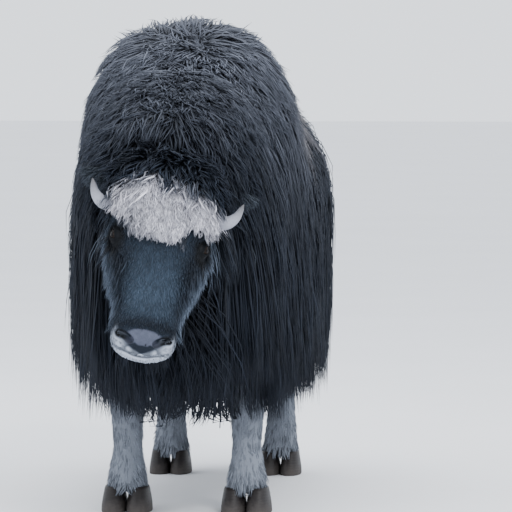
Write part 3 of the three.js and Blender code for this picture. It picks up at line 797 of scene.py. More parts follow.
@dataclass(frozen=True)
class Eye:
    """One eye: a dark ball with an oval pupil, set deep between lids; sizes in metres and degrees."""

    side: int
    radius: float = 16.4 * MM
    bulge: float = 0.07
    slit_half: float = 15.0 * MM
    open_above: float = 0.0088
    open_below: float = 0.0070
    lid_rise: float = 2.4 * MM
    lid_reach: float = 0.038
    lid_fold: float = 0.0012
    slant: float = 26.0

    def skin_place(self, out: float = 0.0) -> Array:
        """The place on the head's skin above the eye."""
        angle = EYE_ANGLE if self.side > 0 else math.pi - EYE_ANGLE
        return HEAD.point(EYE_T, angle, out)

    def centre(self) -> Array:
        """The middle of the ball."""
        return self.skin_place(-EYE_SINK)

    def gap(self, points: Array) -> Array:
        """How far points are from the middle of the ball."""
        return np.linalg.norm(points - self.centre(), axis=1)

    def axes(self) -> tuple[Array, Array, Array]:
        """The eye's own axes: along its slit to the back, across it upwards, and outwards."""
        outward = unit(self.skin_place(20) - self.centre())
        slant = math.radians(self.slant)
        slit = HEAD.place[:3, :3] @ np.array([0.0, math.cos(slant), math.sin(slant)])
        slit = unit(slit - outward * float(slit @ outward))
        return slit, np.cross(outward, slit) * self.side, outward

    def build(self) -> bpy.types.Object:
        """Makes the eyeball, with the directions that its iris is drawn by."""
        mesh = bmesh.new()
        bmesh.ops.create_uvsphere(mesh, u_segments=40, v_segments=28, radius=1)
        turn = np.stack(self.axes(), axis=1)
        directions = []
        for vert in mesh.verts:
            local = np.array(vert.co)
            directions.append(local)
            swell = 1 + self.bulge * float(smooth(0.75, 1.0, local[2]))
            vert.co = self.centre() + turn @ (local * self.radius * swell)
        made = finished(mesh, f"eyeball_{side_name(self.side)}")
        store(made.data, "Gaze", "FLOAT_VECTOR", np.array(directions))
        return made

    def set_lids(self, points: Array, head: Array) -> Array:
        """Wraps the skin round the eye as two lids with an almond opening between them.

        Args:
            points: The skin's points.
            head: Which of them are the head's.

        Returns:
            The moved points.
        """
        slit, rise, outward = self.axes()
        q = points - self.centre()
        a, b, c = q @ slit, q @ rise, q @ outward
        reach = np.hypot(a, b)
        near = (reach < self.lid_reach) & (c > -0.004) & (head > 0)
        lid = self.radius + self.lid_rise
        over = np.sqrt(np.maximum(lid**2 - np.minimum(reach, lid * 0.94) ** 2, 0))
        half = np.where(b > 0, self.open_above, self.open_below) * np.maximum(1 - (a / self.slit_half) ** 2, 0)
        past_corner = np.hypot(np.abs(a) - self.slit_half, b)
        edge = np.where(np.abs(a) < self.slit_half, np.abs(b) - half, past_corner)
        rim = bell(edge, 0.0022, 0.0018)
        fold = bell(edge, 0.0075, 0.0016) * (b > 0)
        wanted = c + (over + self.lid_fold * rim - self.lid_fold * fold - c) * smooth(0.021, 0.004, edge)
        wanted = wanted + (self.radius * 0.55 - wanted) * smooth(0.0, -0.0016, edge)
        return points + outward * (np.where(near, wanted, c) - c)[:, None]


@dataclass
class Hide:
    """The one skin of the animal, from the muzzle to the fetlocks; sizes in metres."""

    voxel: float = 0.008
    passes: int = 3
    head_passes: int = 4
    muzzle_t: float = 0.86
    joint_t: float = 0.12
    head_margin: float = 0.07
    smooth_margin: float = 0.02
    muzzle_fine: float = 0.085
    eye_fine: float = 0.042
    tip_fine: float = 0.058
    nostril_depth: float = 0.012
    nostril_rim: float = 0.0022
    lip_depth: float = 0.0055
    lip_swell: float = 0.002
    object: bpy.types.Object | None = None

    # Swells of the head: place along it, spread, angle above or below the eye, spread, height
    SWELLS = (
        (0.235, 0.035, 0.2, 0.34, 0.006),
        (0.40, 0.05, 0.12, 0.28, -0.006),
        (0.40, 0.09, -0.75, 0.3, 0.005),
    )

    def build(self) -> bpy.types.Object:
        """Makes the skin: the forms joined, made fine on the head and shaped there."""
        data = self.joined()
        mesh = bmesh.new()
        mesh.from_mesh(data)
        bpy.data.meshes.remove(data)
        self.keep_largest(mesh)
        for _ in range(self.passes):
            self.relax(mesh, mesh.verts[:])
        self.refine(mesh)
        self.object = finished(mesh, "hide")
        self.shape_head()
        self.dress()
        return self.object

    def joined(self) -> bpy.types.Mesh:
        """Makes every form and ear, and remeshes them as one."""
        mesh = bmesh.new()
        for name, form in FORMS.items():
            form.build(mesh, *RINGS.get(name, LEG_RINGS))
        for side in SIDES.values():
            Ear(side).build(mesh)
        rough = finished(mesh, "hide_forms")
        remesh = rough.modifiers.new("one skin", "REMESH")
        remesh.mode = "VOXEL"
        remesh.voxel_size = self.voxel
        remesh.use_smooth_shade = True
        shown = rough.evaluated_get(bpy.context.evaluated_depsgraph_get())
        data = bpy.data.meshes.new_from_object(shown)
        bpy.data.objects.remove(rough)
        return data

    @staticmethod
    def relax(mesh: bmesh.types.BMesh, verts: list[bmesh.types.BMVert]) -> None:
        """Smooths vertices once."""
        bmesh.ops.smooth_vert(mesh, verts=verts, factor=0.5, use_axis_x=True, use_axis_y=True, use_axis_z=True)

    @staticmethod
    def keep_largest(mesh: bmesh.types.BMesh) -> None:
        """Deletes every loose shell but the largest."""
        mesh.verts.ensure_lookup_table()
        seen = np.zeros(len(mesh.verts), bool)
        shells = []
        for seed in mesh.verts:
            if seen[seed.index]:
                continue
            seen[seed.index] = True
            shell, front = [seed], [seed]
            while front:
                vert = front.pop()
                for other in (edge.other_vert(vert) for edge in vert.link_edges):
                    if not seen[other.index]:
                        seen[other.index] = True
                        shell.append(other)
                        front.append(other)
            shells.append(shell)
        shells.sort(key=len)
        for shell in shells[:-1]:
            bmesh.ops.delete(mesh, geom=shell, context="VERTS")

    def refine(self, mesh: bmesh.types.BMesh) -> None:
        """Subdivides the head once, the muzzle and the eyes once more, and the tip again."""
        centres = [Vector(Eye(side).centre()) for side in SIDES.values()]
        muzzle = Vector(HEAD.point(self.muzzle_t, 0.0) + HEAD.point(self.muzzle_t, math.pi)) / 2
        joint = Vector(HEAD.point(self.joint_t, math.pi / 2) + HEAD.point(self.joint_t, -math.pi / 2)) / 2
        tip = Vector(HEAD.point(1.0, 0.0))
        middle = (joint + tip) / 2
        reach = (tip - joint).length / 2 + self.head_margin
        for chosen in (
            lambda c: (c - middle).length < reach,
            lambda c: (c - muzzle).length < self.muzzle_fine
            or min((c - e).length for e in centres) < self.eye_fine,
            lambda c: (c - tip).length < self.tip_fine,
        ):
            faces = [f for f in mesh.faces if chosen(f.calc_center_median())]
            edges = list({e for f in faces for e in f.edges})
            bmesh.ops.subdivide_edges(mesh, edges=edges, cuts=1, use_grid_fill=True, smooth=0.0)
        bmesh.ops.triangulate(mesh, faces=[f for f in mesh.faces if len(f.verts) > 4])
        near = [v for v in mesh.verts if (v.co - middle).length < reach + self.smooth_margin]
        for _ in range(self.head_passes):
            self.relax(mesh, near)

    def shape_head(self) -> None:
        """Shapes lids, hollows, nostrils, mouth and ear cups by moving the head's vertices."""
        data = self.object.data
        points, normals = read(data.vertices, "co", 3), read(data.vertices, "normal", 3)
        site = Site.of(points)
        head = site.within("head").astype(float)
        move = np.zeros_like(points)
        for side in SIDES.values():
            mid = math.pi / 2 - side * (math.pi / 2 - EYE_ANGLE)
            around = (site.head_angle - mid + math.pi) % (2 * math.pi) - math.pi
            swell = sum(
                height * (bell(site.head_t, t, spread) * bell(around, side * turn, turn_spread))
                for t, spread, turn, turn_spread, height in self.SWELLS
            )
            move += normals * (swell * head * smooth(0.05, 0.12, site.head_t))[:, None]
        points = points + move
        for side in SIDES.values():
            gap, along = nostril_gap(points, side)
            pit = smooth(1.15, 0.55, gap / (0.0035 + 0.0045 * smooth(0.0, 0.9, along)))
            rim = bell(gap, 0.0115, 0.005) * (1 - pit)
            points = points + normals * ((self.nostril_rim * rim - self.nostril_depth * pit) * head)[:, None]
            points = Eye(side).set_lids(points, head)
        gap, along = mouth_gap(points)
        corner = np.minimum(along, 1 - along)
        line = smooth(0.0042, 0.001, gap) * smooth(0.0, 0.06, corner)
        lips = bell(gap, 0.009, 0.005) * smooth(0.05, 0.2, corner)
        points = points + normals * ((self.lip_swell * lips - self.lip_depth * line) * head)[:, None]
        local = HEAD.to_local(points)
        for name, side in EARS.items():
            Ear(side).press_cup(local, site.within(name))
        write(data.vertices, "co", HEAD.to_world(local))
        data.update()

    def dress(self) -> None:
        """Gives the skin its markings, its wet places and its unwrap."""
        data = self.object.data
        site = Site.of(read(data.vertices, "co", 3))
        store_marks(data, Markings.colour(site))
        head = site.within("head")
        wet = head * smooth(1.1, 0.9, Markings.nose_pad(site)[0])
        for side in SIDES.values():
            wet = np.maximum(wet, smooth(0.0192, 0.0180, Eye(side).gap(site.points)) * head)
        store(data, "Wet", "FLOAT", wet)
        self.unwrap()

    def unwrap(self) -> None:
        """Lays every face of the skin on the unwrap, by region, as its own ring and row."""
        data = self.object.data
        faces = Site.of(read(data.polygons, "center", 3))
        face_of_loop = np.repeat(np.arange(len(data.polygons)), read(data.polygons, "loop_total", whole=True))
        points = read(data.vertices, "co", 3)[read(data.loops, "vertex_index", whole=True)]
        uv = np.zeros((len(points), 2))
        for index, name in enumerate(REGIONS):
            chosen = faces.region[face_of_loop] == index
            if not chosen.any():
                continue
            region = Ear(EARS[name]) if name in EARS else FORMS[name]
            t, angle, _ = region.locate(points[chosen])
            turn = Patch.turn(angle)
            turn = turn - np.round(turn - Patch.turn(faces.angle[face_of_loop[chosen]]))
            uv[chosen] = Patch.uv(name, t, turn)
        Patch.store(data, uv)


@dataclass(frozen=True)
class Hair:
    """One kind of hair: how long, wide, dense and wavy its tufts are, in metres."""

    name: str
    count: int
    length: tuple[float, float]
    width: float
    seed: int
    rings: int
    droop: float
    clump: float
    curl: float
    stand: float
    dark: float
    light: float
    over: tuple[str, ...] = ("trunk", "neck")
    kept: bool = False
    lift: float = 0.0
    lowest: float = 0.0
    slot: str = "coat"


@dataclass
class Roots:
    """Where tufts grow: their place, the skin's normal and their site."""

    points: Array
    normals: Array
    site: Site


class Coat:
    """Grows tufts over the hide as joined meshes of thin solid blades."""

    STIR = 0.32
    STIR_SEEDS = (31, 37, 41)
    WANDER = 0.35
    STRAY = 0.10
    STAND_SPREAD = 0.3
    HEM_BROAD = 0.030
    HEM_RAGGED = 0.035
    HEM_REAR = 0.05
    LOOSE_SHARE = 0.08
    LOCK_SPREAD = 0.0035
    WIDTHS = (0.75, 0.5)
    PROFILE = ([0, 0.35, 1], [0.75, 1.0, 0.35])
    THICKNESS = 0.55
    TONE = 0.16
    LOCK_TONE = 0.14
    TONES = (0.5, 1.6)

    def __init__(self, hide: Hide) -> None:
        """Reads the finished skin's triangles once."""
        data = hide.object.data
        data.calc_loop_triangles()
        self.corners = read(data.loop_triangles, "vertices", 3, whole=True)
        self.points, self.normals = read(data.vertices, "co", 3), read(data.vertices, "normal", 3)
        a, b, c = (self.points[self.corners[:, i]] for i in range(3))
        self.area = np.linalg.norm(np.cross(b - a, c - a), axis=1) / 2
        self.site = Site.of((a + b + c) / 3)
        self.face_normals = unit(self.normals[self.corners].mean(axis=1))

    def roots(self, weight: Array, count: int, rng: np.random.Generator) -> Roots:
        """Draws root places on the skin.

        Args:
            weight: How densely each triangle is covered.
            count: How many roots.
            rng: The seeded draws.

        Returns:
            The roots.
        """
        total = np.cumsum(self.area * np.maximum(weight, 0))
        drawn = (np.arange(count) + rng.random(count)) / count * total[-1]
        chosen = np.minimum(np.searchsorted(total, drawn), len(total) - 1)
        u, v = rng.random(count), rng.random(count)
        u, v = np.where(u + v > 1, 1 - u, u), np.where(u + v > 1, 1 - v, v)
        parts = np.stack([1 - u - v, u, v], axis=1)
        points, normals = (
            np.einsum("nk,nkd->nd", parts, values[self.corners[chosen]]) for values in (self.points, self.normals)
        )
        return Roots(points, unit(normals), Site.of(points))

    @classmethod
    def lie(cls, roots: Roots) -> Array:
        """The way the coat lies at each root: unit directions in the skin's own plane."""
        count, site = len(roots.points), roots.site
        back, down = np.tile([0.0, 1.0, 0.0], (count, 1)), np.tile([0.0, 0.0, -1.0], (count, 1))
        level = np.abs(roots.normals[:, 2:3])
        turned = 1.6 * smooth(-0.38, -0.12, roots.points[:, 1:2]) - 0.6
        wanted = down + back * (0.10 + 1.3 * level**3 * turned)
        nose = unit(HEAD.point(0.9, math.pi / 2) - HEAD.point(0.3, math.pi / 2))
        face = site.within("head")[:, None]
        wanted = np.where(face, nose + 0.25 * down, wanted)
        wanted = np.where(face & (site.upper < -0.1)[:, None], down + 0.3 * back, wanted)
        for name, side in EARS.items():
            line = Ear(side).curve()
            wanted = np.where(site.within(name)[:, None], unit(line.at(1.0) - line.at(0.0)) + 0.3 * down, wanted)
        stir = np.stack([value_noise(roots.points, 24, seed) for seed in cls.STIR_SEEDS], axis=1)
        wanted = wanted + cls.STIR * stir
        flat = wanted - roots.normals * np.sum(wanted * roots.normals, axis=-1, keepdims=True)
        return unit(flat + 0.02 * down)

    def grow(
        self, hair: Hair, weight: Array, longer: Callable[[Roots], Array] | None
    ) -> tuple[Array, Roots, Array]:
        """Grows the middle lines of one kind of hair.

        Args:
            hair: The kind.
            weight: Its cover on each triangle.
            longer: A factor of length for each root.

        Returns:
            Paths, ring by ring, the roots, and the lock of each.
        """
        rng = np.random.default_rng(hair.seed)
        count = hair.count
        roots = self.roots(weight, count, rng)
        length = rng.uniform(*hair.length, count)
        if longer:
            length = length * longer(roots)
        along = self.lie(roots)
        sway = unit(np.cross(roots.normals, along))
        loose = 0.5 if hair.kept else 1.0
        bend = self.WANDER * value_noise(roots.points, 14, hair.seed)[:, None]
        wander = loose * (bend + rng.normal(0, self.STRAY, (count, 1)))
        stand = hair.stand * (1 + self.STAND_SPREAD * rng.normal(size=(count, 1)))
        heading = unit(along + sway * wander + roots.normals * stand)
        p = roots.points - roots.normals * ROOT_DEPTH
        path = [p]
        step = (length / hair.rings)[:, None]
        phase = rng.uniform(0, 2 * math.pi, (count, 1))
        limit = np.minimum(rng.normal(0.965, 0.035, count), 1.04)
        broad = 0.5 + 0.5 * value_noise(roots.points * [1, 1, 0], 11, 5)
        rear = smooth(0.42, 0.72, roots.points[:, 1])
        ragged = self.HEM_BROAD * broad + self.HEM_RAGGED * rng.random(count) ** 2 + self.HEM_REAR * rear
        hem = hair.lowest + ragged * hair.kept
        for ring in range(1, hair.rings + 1):
            share = ring / hair.rings
            heading = unit(heading + np.array([0, 0, -1.0]) * hair.droop * share)
            wave = sway * np.sin(phase + share * 5.5) + roots.normals * 0.5 * np.cos(phase * 1.7 + share * 5.0)
            p = self.clear(p + step * unit(heading + wave * hair.curl), hair, share, limit, hem)
            path.append(p)
        path = np.stack(path, axis=1)
        return path, roots, self.gather(path, roots, hair, rng)

    @staticmethod
    def clear(p: Array, hair: Hair, share: float, limit: Array, hem: Array) -> Array:
        """Moves points out of the body they hang over, and keeps the skirt within its plan and above its hem.

        Args:
            p: The points, metres.
            hair: The kind of hair.
            share: How far along the hair they are, 0 to 1.
            limit: How far out each may come, as a share of the coat's plan.
            hem: How low each may come.

        Returns:
            The moved points.
        """
        clearance = hair.lift * share + SKIN_GAP
        for name in hair.over:
            form = FORMS[name]
            t, angle, depth = form.locate(p)
            reach = np.minimum(form.value("half", t), form.value("top", t)) * MM
            inside = (t > 0.001) & (t < 0.999) & (depth > 0.6) & (depth < 1 + clearance / reach)
            if inside.any():
                p = p.copy()
                p[inside] = form.point(t[inside], angle[inside], clearance / MM)
        if hair.kept:
            plan = np.abs(p[:, 0] / COAT_HALF_WIDTH) ** COAT_SQUARE
            plan = plan + np.abs((p[:, 1] - COAT_MIDDLE_Y) / COAT_HALF_LENGTH) ** COAT_SQUARE
            squeeze = np.minimum(limit / np.maximum(plan, 1e-6) ** (1 / COAT_SQUARE), 1)
            p[:, 0] *= squeeze
            p[:, 1] = COAT_MIDDLE_Y + (p[:, 1] - COAT_MIDDLE_Y) * squeeze
        over = np.maximum(p[:, 2] - COAT_TOP + COAT_CREST, 0)
        p[:, 2] = np.maximum(p[:, 2] - over + COAT_CREST * (1 - np.exp(-over / COAT_CREST)), hem)
        return p

    @classmethod
    def gather(cls, path: Array, roots: Roots, hair: Hair, rng: np.random.Generator) -> Array:
        """Draws neighbouring tufts together towards their tips, into locks.

        Args:
            path: The paths, changed in place.
            roots: Their roots.
            hair: The kind of hair.
            rng: The seeded draws.

        Returns:
            The number of each tuft's lock.
        """
        count, rings = len(path), hair.rings
        leaders = rng.choice(count, max(count // LOCK_TUFTS, 1), replace=False)
        tree = KDTree(len(leaders))
        for i, leader in enumerate(leaders):
            tree.insert(Vector(roots.points[leader]), i)
        tree.balance()
        own = np.array([leaders[tree.find(Vector(p))[1]] for p in roots.points])
        loose = rng.random(count) < cls.LOOSE_SHARE
        own[loose] = np.nonzero(loose)[0]
        share = (np.arange(rings + 1) / rings) ** 1.3 * hair.clump
        spread = rng.normal(0, cls.LOCK_SPREAD, (count, 1, 3))
        spread = spread * (1 - 0.6 * np.linspace(0, 1, rings + 1))[None, :, None]
        path += (path[own] + spread - path) * share[None, :, None]
        return own

    @classmethod
    def blades(cls, hair: Hair, path: Array, roots: Roots, clump: Array) -> bpy.types.Object:
        """Makes the solid tufts of one piece: three-sided, closed and tapered, darker at the root.

        Args:
            hair: The kind of hair.
            path: The middle lines.
            roots: The roots.
            clump: Each tuft's lock.

        Returns:
            The piece's object.
        """
        count, rings = len(path), hair.rings
        rng = np.random.default_rng(hair.seed + 1000)
        along = unit(np.diff(path, axis=1))
        side = unit(np.cross(along, roots.normals[:, None, :] + 1e-3))
        out = unit(np.cross(side, along))
        widths = hair.width * (cls.WIDTHS[0] + cls.WIDTHS[1] * rng.random((count, 1)))
        profile = np.interp(np.arange(rings) / rings, *cls.PROFILE)
        half = (widths * profile[None] / 2)[..., None]
        base = path[:, :rings]
        ring = np.stack([base + side * half, base - side * half, base + out * half * cls.THICKNESS], axis=2)
        points = np.concatenate([ring.reshape(count, rings * 3, 3), path[:, -1:]], axis=1)
        faces = [(0, 2, 1)]
        for r in range(rings - 1):
            for k in range(3):
                a, b = r * 3 + k, r * 3 + (k + 1) % 3
                faces += [(a, b, b + 3), (a, b + 3, a + 3)]
        last = (rings - 1) * 3
        faces += [(last + k, last + (k + 1) % 3, rings * 3) for k in range(3)]
        first = (np.arange(count) * (rings * 3 + 1))[:, None, None]
        triangles = (np.array(faces)[:, ::-1][None] + first).reshape(-1, 3)
        share = np.concatenate([np.repeat(np.arange(rings) / rings, 3), [1.0]])
        lock_tone = cls.LOCK_TONE * np.sin(clump * 12.9898)[:, None, None]
        tone = np.clip(1 + cls.TONE * rng.normal(size=(count, 1, 1)) + lock_tone, *cls.TONES)
        colours = Markings.colour(roots.site)
        low, high = colours * (1 - hair.dark), colours * (1 + hair.light)
        mark = (low[:, None] + (high - low)[:, None] * (share**1.2)[None, :, None]) * tone
        uv_root = np.zeros((count, 2))
        for index, area in enumerate(REGIONS):
            chosen = roots.site.region == index
            if chosen.any():
                uv_root[chosen] = Patch.uv(area, roots.site.t[chosen], Patch.turn(roots.site.angle[chosen]))
        across = np.concatenate([np.tile([0.0, 1.0, 0.5], rings), [0.5]])
        local = np.stack([across, share], axis=1) * UV_TUFT
        data = bpy.data.meshes.new(hair.name)
        data.vertices.add(points.shape[0] * points.shape[1])
        write(data.vertices, "co", points)
        data.loops.add(triangles.size)
        write(data.loops, "vertex_index", triangles, np.int32)
        data.polygons.add(len(triangles))
        write(data.polygons, "loop_start", np.arange(0, triangles.size, 3), np.int32)
        data.update(calc_edges=True)
        store_marks(data, np.clip(mark.reshape(-1, 3), 0, 1))
        Patch.store(data, (uv_root[:, None] + local[None]).reshape(-1, 2)[triangles.ravel()])
        return placed(data)


class Socket:
    """Wraps a shader socket, so that sums read as Python expressions."""

    def __init__(self, kit: "Shader", link: bpy.types.NodeSocket) -> None:
        """Keeps the node kit and the socket."""
        self.kit = kit
        self.link = link

    def maths(self, operation: str, other: "Socket | float" = 0.0, swap: bool = False) -> "Socket":
        """One Math node on this value and another."""
        values = [other, self] if swap else [self, other]
        return self.kit.add("ShaderNodeMath", {"operation": operation}, dict(enumerate(values)))

    def __add__(self, other: "Socket | float") -> "Socket":
        """Sum."""
        return self.maths("ADD", other)

    __radd__ = __add__

    def __sub__(self, other: "Socket | float") -> "Socket":
        """Difference."""
        return self.maths("SUBTRACT", other)

    def __rsub__(self, other: float) -> "Socket":
        """Difference from a number."""
        return self.maths("SUBTRACT", other, swap=True)

    def __mul__(self, other: "Socket | float") -> "Socket":
        """Product."""
        return self.maths("MULTIPLY", other)

    __rmul__ = __mul__

    def wave(self) -> "Socket":
        """The value's sine."""
        return self.maths("SINE")

    def clamped(self) -> "Socket":
        """The value kept between 0 and 1."""
        return self.kit.add("ShaderNodeClamp", {}, {0: self})

    def between(self, low: float, high: float) -> "Socket":
        """Rises smoothly from 0 at low to 1 at high."""
        settings = {"interpolation_type": "SMOOTHSTEP"}
        return self.kit.add("ShaderNodeMapRange", settings, {0: self, 1: low, 2: high})

    def part(self, axis: str) -> "Socket":
        """One part of a vector."""
        return self.kit.add("ShaderNodeSeparateXYZ", {}, {0: self}, axis)


class Shader:
    """Builds one material out of nodes."""

    def __init__(self, name: str) -> None:
        """Starts a material with one Principled shader."""
        self.material = bpy.data.materials.new(name)
        self.material.use_nodes = True
        self.nodes = self.material.node_tree.nodes
        self.links = self.material.node_tree.links
        self.surface = self.nodes["Principled BSDF"]

    def add(self, kind: str, settings: dict, inputs: dict, output: int | str = 0) -> Socket:
        """Adds a node.

        Args:
            kind: The node's type.
            settings: Its own settings; stops are the colour stops of a ramp.
            inputs: Values or sockets by input name or number.
            output: Which output to give back.

        Returns:
            The wrapped output.
        """
        node = self.nodes.new(kind)
        for name, value in settings.items():
            if name == "stops":
                ramp = node.color_ramp
                while len(ramp.elements) < len(value):
                    ramp.elements.new(0.5)
                for element, (place, colour) in zip(ramp.elements, value):
                    element.position = place
                    element.color = (*colour, 1)
            else:
                setattr(node, name, value)
        for name, value in inputs.items():
            self.feed(node.inputs[name], value)
        return Socket(self, node.outputs[output])

    def feed(self, socket: bpy.types.NodeSocket, value: object) -> None:
        """Sets or links one input."""
        if isinstance(value, Socket):
            self.links.new(value.link, socket)
        else:
            socket.default_value = value

    def set(self, **values: object) -> bpy.types.Material:
        """Sets inputs of the Principled shader, whose underscores stand for spaces, and gives the material."""
        for name, value in values.items():
            self.feed(self.surface.inputs[name.replace("_", " ")], value)
        return self.material

    def attribute(self, name: str, output: str = "Color") -> Socket:
        """Reads an attribute of the mesh."""
        return self.add("ShaderNodeAttribute", {"attribute_name": name}, {}, output)

    def place(self) -> Socket:
        """Object coordinates."""
        return self.add("ShaderNodeTexCoord", {}, {}, "Object")

    def noise(self, scale: float, detail: float) -> Socket:
        """Noise over the surface."""
        inputs = {"Vector": self.place(), "Scale": scale, "Detail": detail, "Roughness": 0.6}
        return self.add("ShaderNodeTexNoise", {}, inputs)

    def mix(self, factor: Socket, a: Triple | Socket, b: Triple) -> Socket:
        """Mixes two colours."""
        first = a if isinstance(a, Socket) else (*a, 1)
        return self.add("ShaderNodeMix", {"data_type": "RGBA"}, {0: factor, 6: first, 7: (*b, 1)}, 2)

    def dim(self, colour: Socket, factor: Socket) -> Socket:
        """Multiplies a colour by a number."""
        return self.add("ShaderNodeVectorMath", {"operation": "SCALE"}, {0: colour, 3: factor})

    def bump(self, height: Socket, strength: float, distance: float) -> Socket:
        """Turns a height into a normal."""
        return self.add("ShaderNodeBump", {}, {"Height": height, "Strength": strength, "Distance": distance})


@dataclass(frozen=True)
class FurFinish:
    """Hair: its mark, with fine changes from strand to strand and a dull gloss."""

    name: str = "fur"
    roughness: float = 0.80

    def material(self) -> bpy.types.Material:
        """Makes the material."""
        shader = Shader(self.name)
        streak = shader.noise(420, 2)
        colour = shader.dim(shader.attribute("Mark"), 0.72 + streak * 0.56)
        return shader.set(Base_Color=colour, Roughness=self.roughness - streak * 0.12, Specular_IOR_Level=0.2)


@dataclass(frozen=True)
class HideFinish:
    """Skin under short fur: the markings, combed finely, and wet at the nose and the lids."""

    name: str = "hide"
    roughness: float = 0.86

    def material(self) -> bpy.types.Material:
        """Makes the material."""
        shader = Shader(self.name)
        wet, comb, pores = shader.attribute("Wet", "Fac"), shader.noise(620, 3), shader.noise(260, 2)
        return shader.set(
            Base_Color=shader.dim(shader.attribute("Mark"), 0.66 + comb * 0.6),
            Roughness=self.roughness - wet * 0.40,
            Specular_IOR_Level=0.12,
            Normal=shader.bump(comb + pores * wet, 0.5, 0.0016),
        )


@dataclass(frozen=True)
class HornFinish:
    """Pale horn, greyer at its root and darker towards its tip, with fine growth rings."""

    name: str = "horn"
    root: Triple = rgb(120, 114, 110)
    middle: Triple = rgb(150, 152, 162)
    tip: Triple = rgb(62, 60, 62)

    def material(self) -> bpy.types.Material:
        """Makes the material."""
        shader = Shader(self.name)
        along = shader.attribute("Along", "Fac")
        stops = [(0.0, self.root), (0.3, self.middle), (0.72, self.middle), (1.0, self.tip)]
        base = shader.add("ShaderNodeValToRGB", {"stops": stops}, {0: along})
        grain = shader.noise(240, 4)
        ring = (along * 150 + grain * 5).wave()
        return shader.set(
            Base_Color=shader.dim(base, 0.74 + grain * 0.5),
            Roughness=0.62 - along * 0.22,
            Specular_IOR_Level=0.45,
            Normal=shader.bump(ring * 0.35 * (1 - along) + grain, 0.4, 0.0012),
        )


@dataclass(frozen=True)
class HoofFinish:
    """Dark hoof horn with level growth rings, dustier low down."""

    name: str = "hoof"
    dark: Triple = rgb(33, 30, 30)
    dusty: Triple = rgb(80, 75, 72)

    def material(self) -> bpy.types.Material:
        """Makes the material."""
        shader = Shader(self.name)
        grain, height = shader.noise(90, 4), shader.place().part("Z")
        ring = (height * 1100 + grain * 3).wave()
        dust = (1 - height * 34 + (grain - 0.5) * 1.1).clamped()
        return shader.set(
            Base_Color=shader.mix(dust * 0.7, self.dark, self.dusty),
            Roughness=0.5 + dust * 0.35,
            Specular_IOR_Level=0.25,
            Normal=shader.bump(ring * 0.3 + grain, 0.35, 0.0012),
        )


@dataclass(frozen=True)
class EyeFinish:
    """A dark brown iris round a level oval pupil, under a wet surface."""

    name: str = "eyeball"
    iris: Triple = rgb(26, 18, 14)
    rim: Triple = rgb(11, 8, 7)
    pupil: Triple = rgb(3, 3, 5)

    def material(self) -> bpy.types.Material:
        """Makes the material."""
        shader = Shader(self.name)
        gaze = shader.attribute("Gaze", "Vector")
        x, y = gaze.part("X"), gaze.part("Y")
        oval = (x * x * 4.2 + y * y * 22).between(1.15, 0.85)
        edge = (x * x + y * y).between(0.34, 0.52)
        iris = shader.dim(shader.mix(edge, self.iris, self.rim), 0.6 + shader.noise(900, 2) * 0.8)
        return shader.set(
            Base_Color=shader.mix(oval, iris, self.pupil), Roughness=0.06 + edge * 0.1, Specular_IOR_Level=0.09
        )


@dataclass(frozen=True)
class FloorFinish:
    """A plain pale floor."""

    name: str = "floor"
    colour: Triple = rgb(228, 229, 232)
    paler: Triple = rgb(236, 237, 240)

    def material(self) -> bpy.types.Material:
        """Makes the material."""
        shader = Shader(self.name)
        return shader.set(Base_Color=shader.mix(shader.noise(1.5, 2), self.colour, self.paler), Roughness=0.9)


def dressed(piece: bpy.types.Object, material: bpy.types.Material, slot: str, *nodes: str) -> None:
    """Gives a piece its material, hangs it under the root and hides the solids that it replaces."""
    piece.data.materials.append(material)
    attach(piece, "root")
    if nodes:
        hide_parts(*nodes)


@dataclass(frozen=True)
class Horn:
    """A short horn, out of the wool, sideways and a little down, with its tip turned up."""

    side: int
    places: tuple[Triple, ...] = ((56, -54, 0), (90, -67, -22), (117, -80, -29), (136, -91, -15), (147, -97, 13))
    radii: tuple[float, ...] = (21, 19, 14.5, 9.5, 3.0)
    rows: int = 46
    columns: int = 28
    ridge: float = 0.25
    round_from: float = 0.93

    def sizes(self, t: float) -> tuple[float, float]:
        """The horn's half width and thickness at a place along it, with ridges at its root."""
        ridge = self.ridge * math.sin(t * 75) * max(0.0, 1 - 2.2 * t)
        end = math.sqrt(max(1 - max(t - self.round_from, 0) / 0.075, 0.05))
        radius = (steps_through(self.radii, t) * end + ridge) * MM
        return radius * 1.02, radius * 0.97

    def build(self) -> bpy.types.Object:
        """Makes the horn."""
        curve = Curve([head_point(self.side * x, y, z) for x, y, z in self.places])
        mesh = bmesh.new()
        swept(mesh, curve, np.array([0.0, 0.0, 1.0]), self.sizes, self.rows, self.columns)
        made = finished(mesh, f"horn_sheath_{side_name(self.side)}")
        store(made.data, "Along", "FLOAT", curve.gap(read(made.data.vertices, "co", 3), 120)[1])
        return made


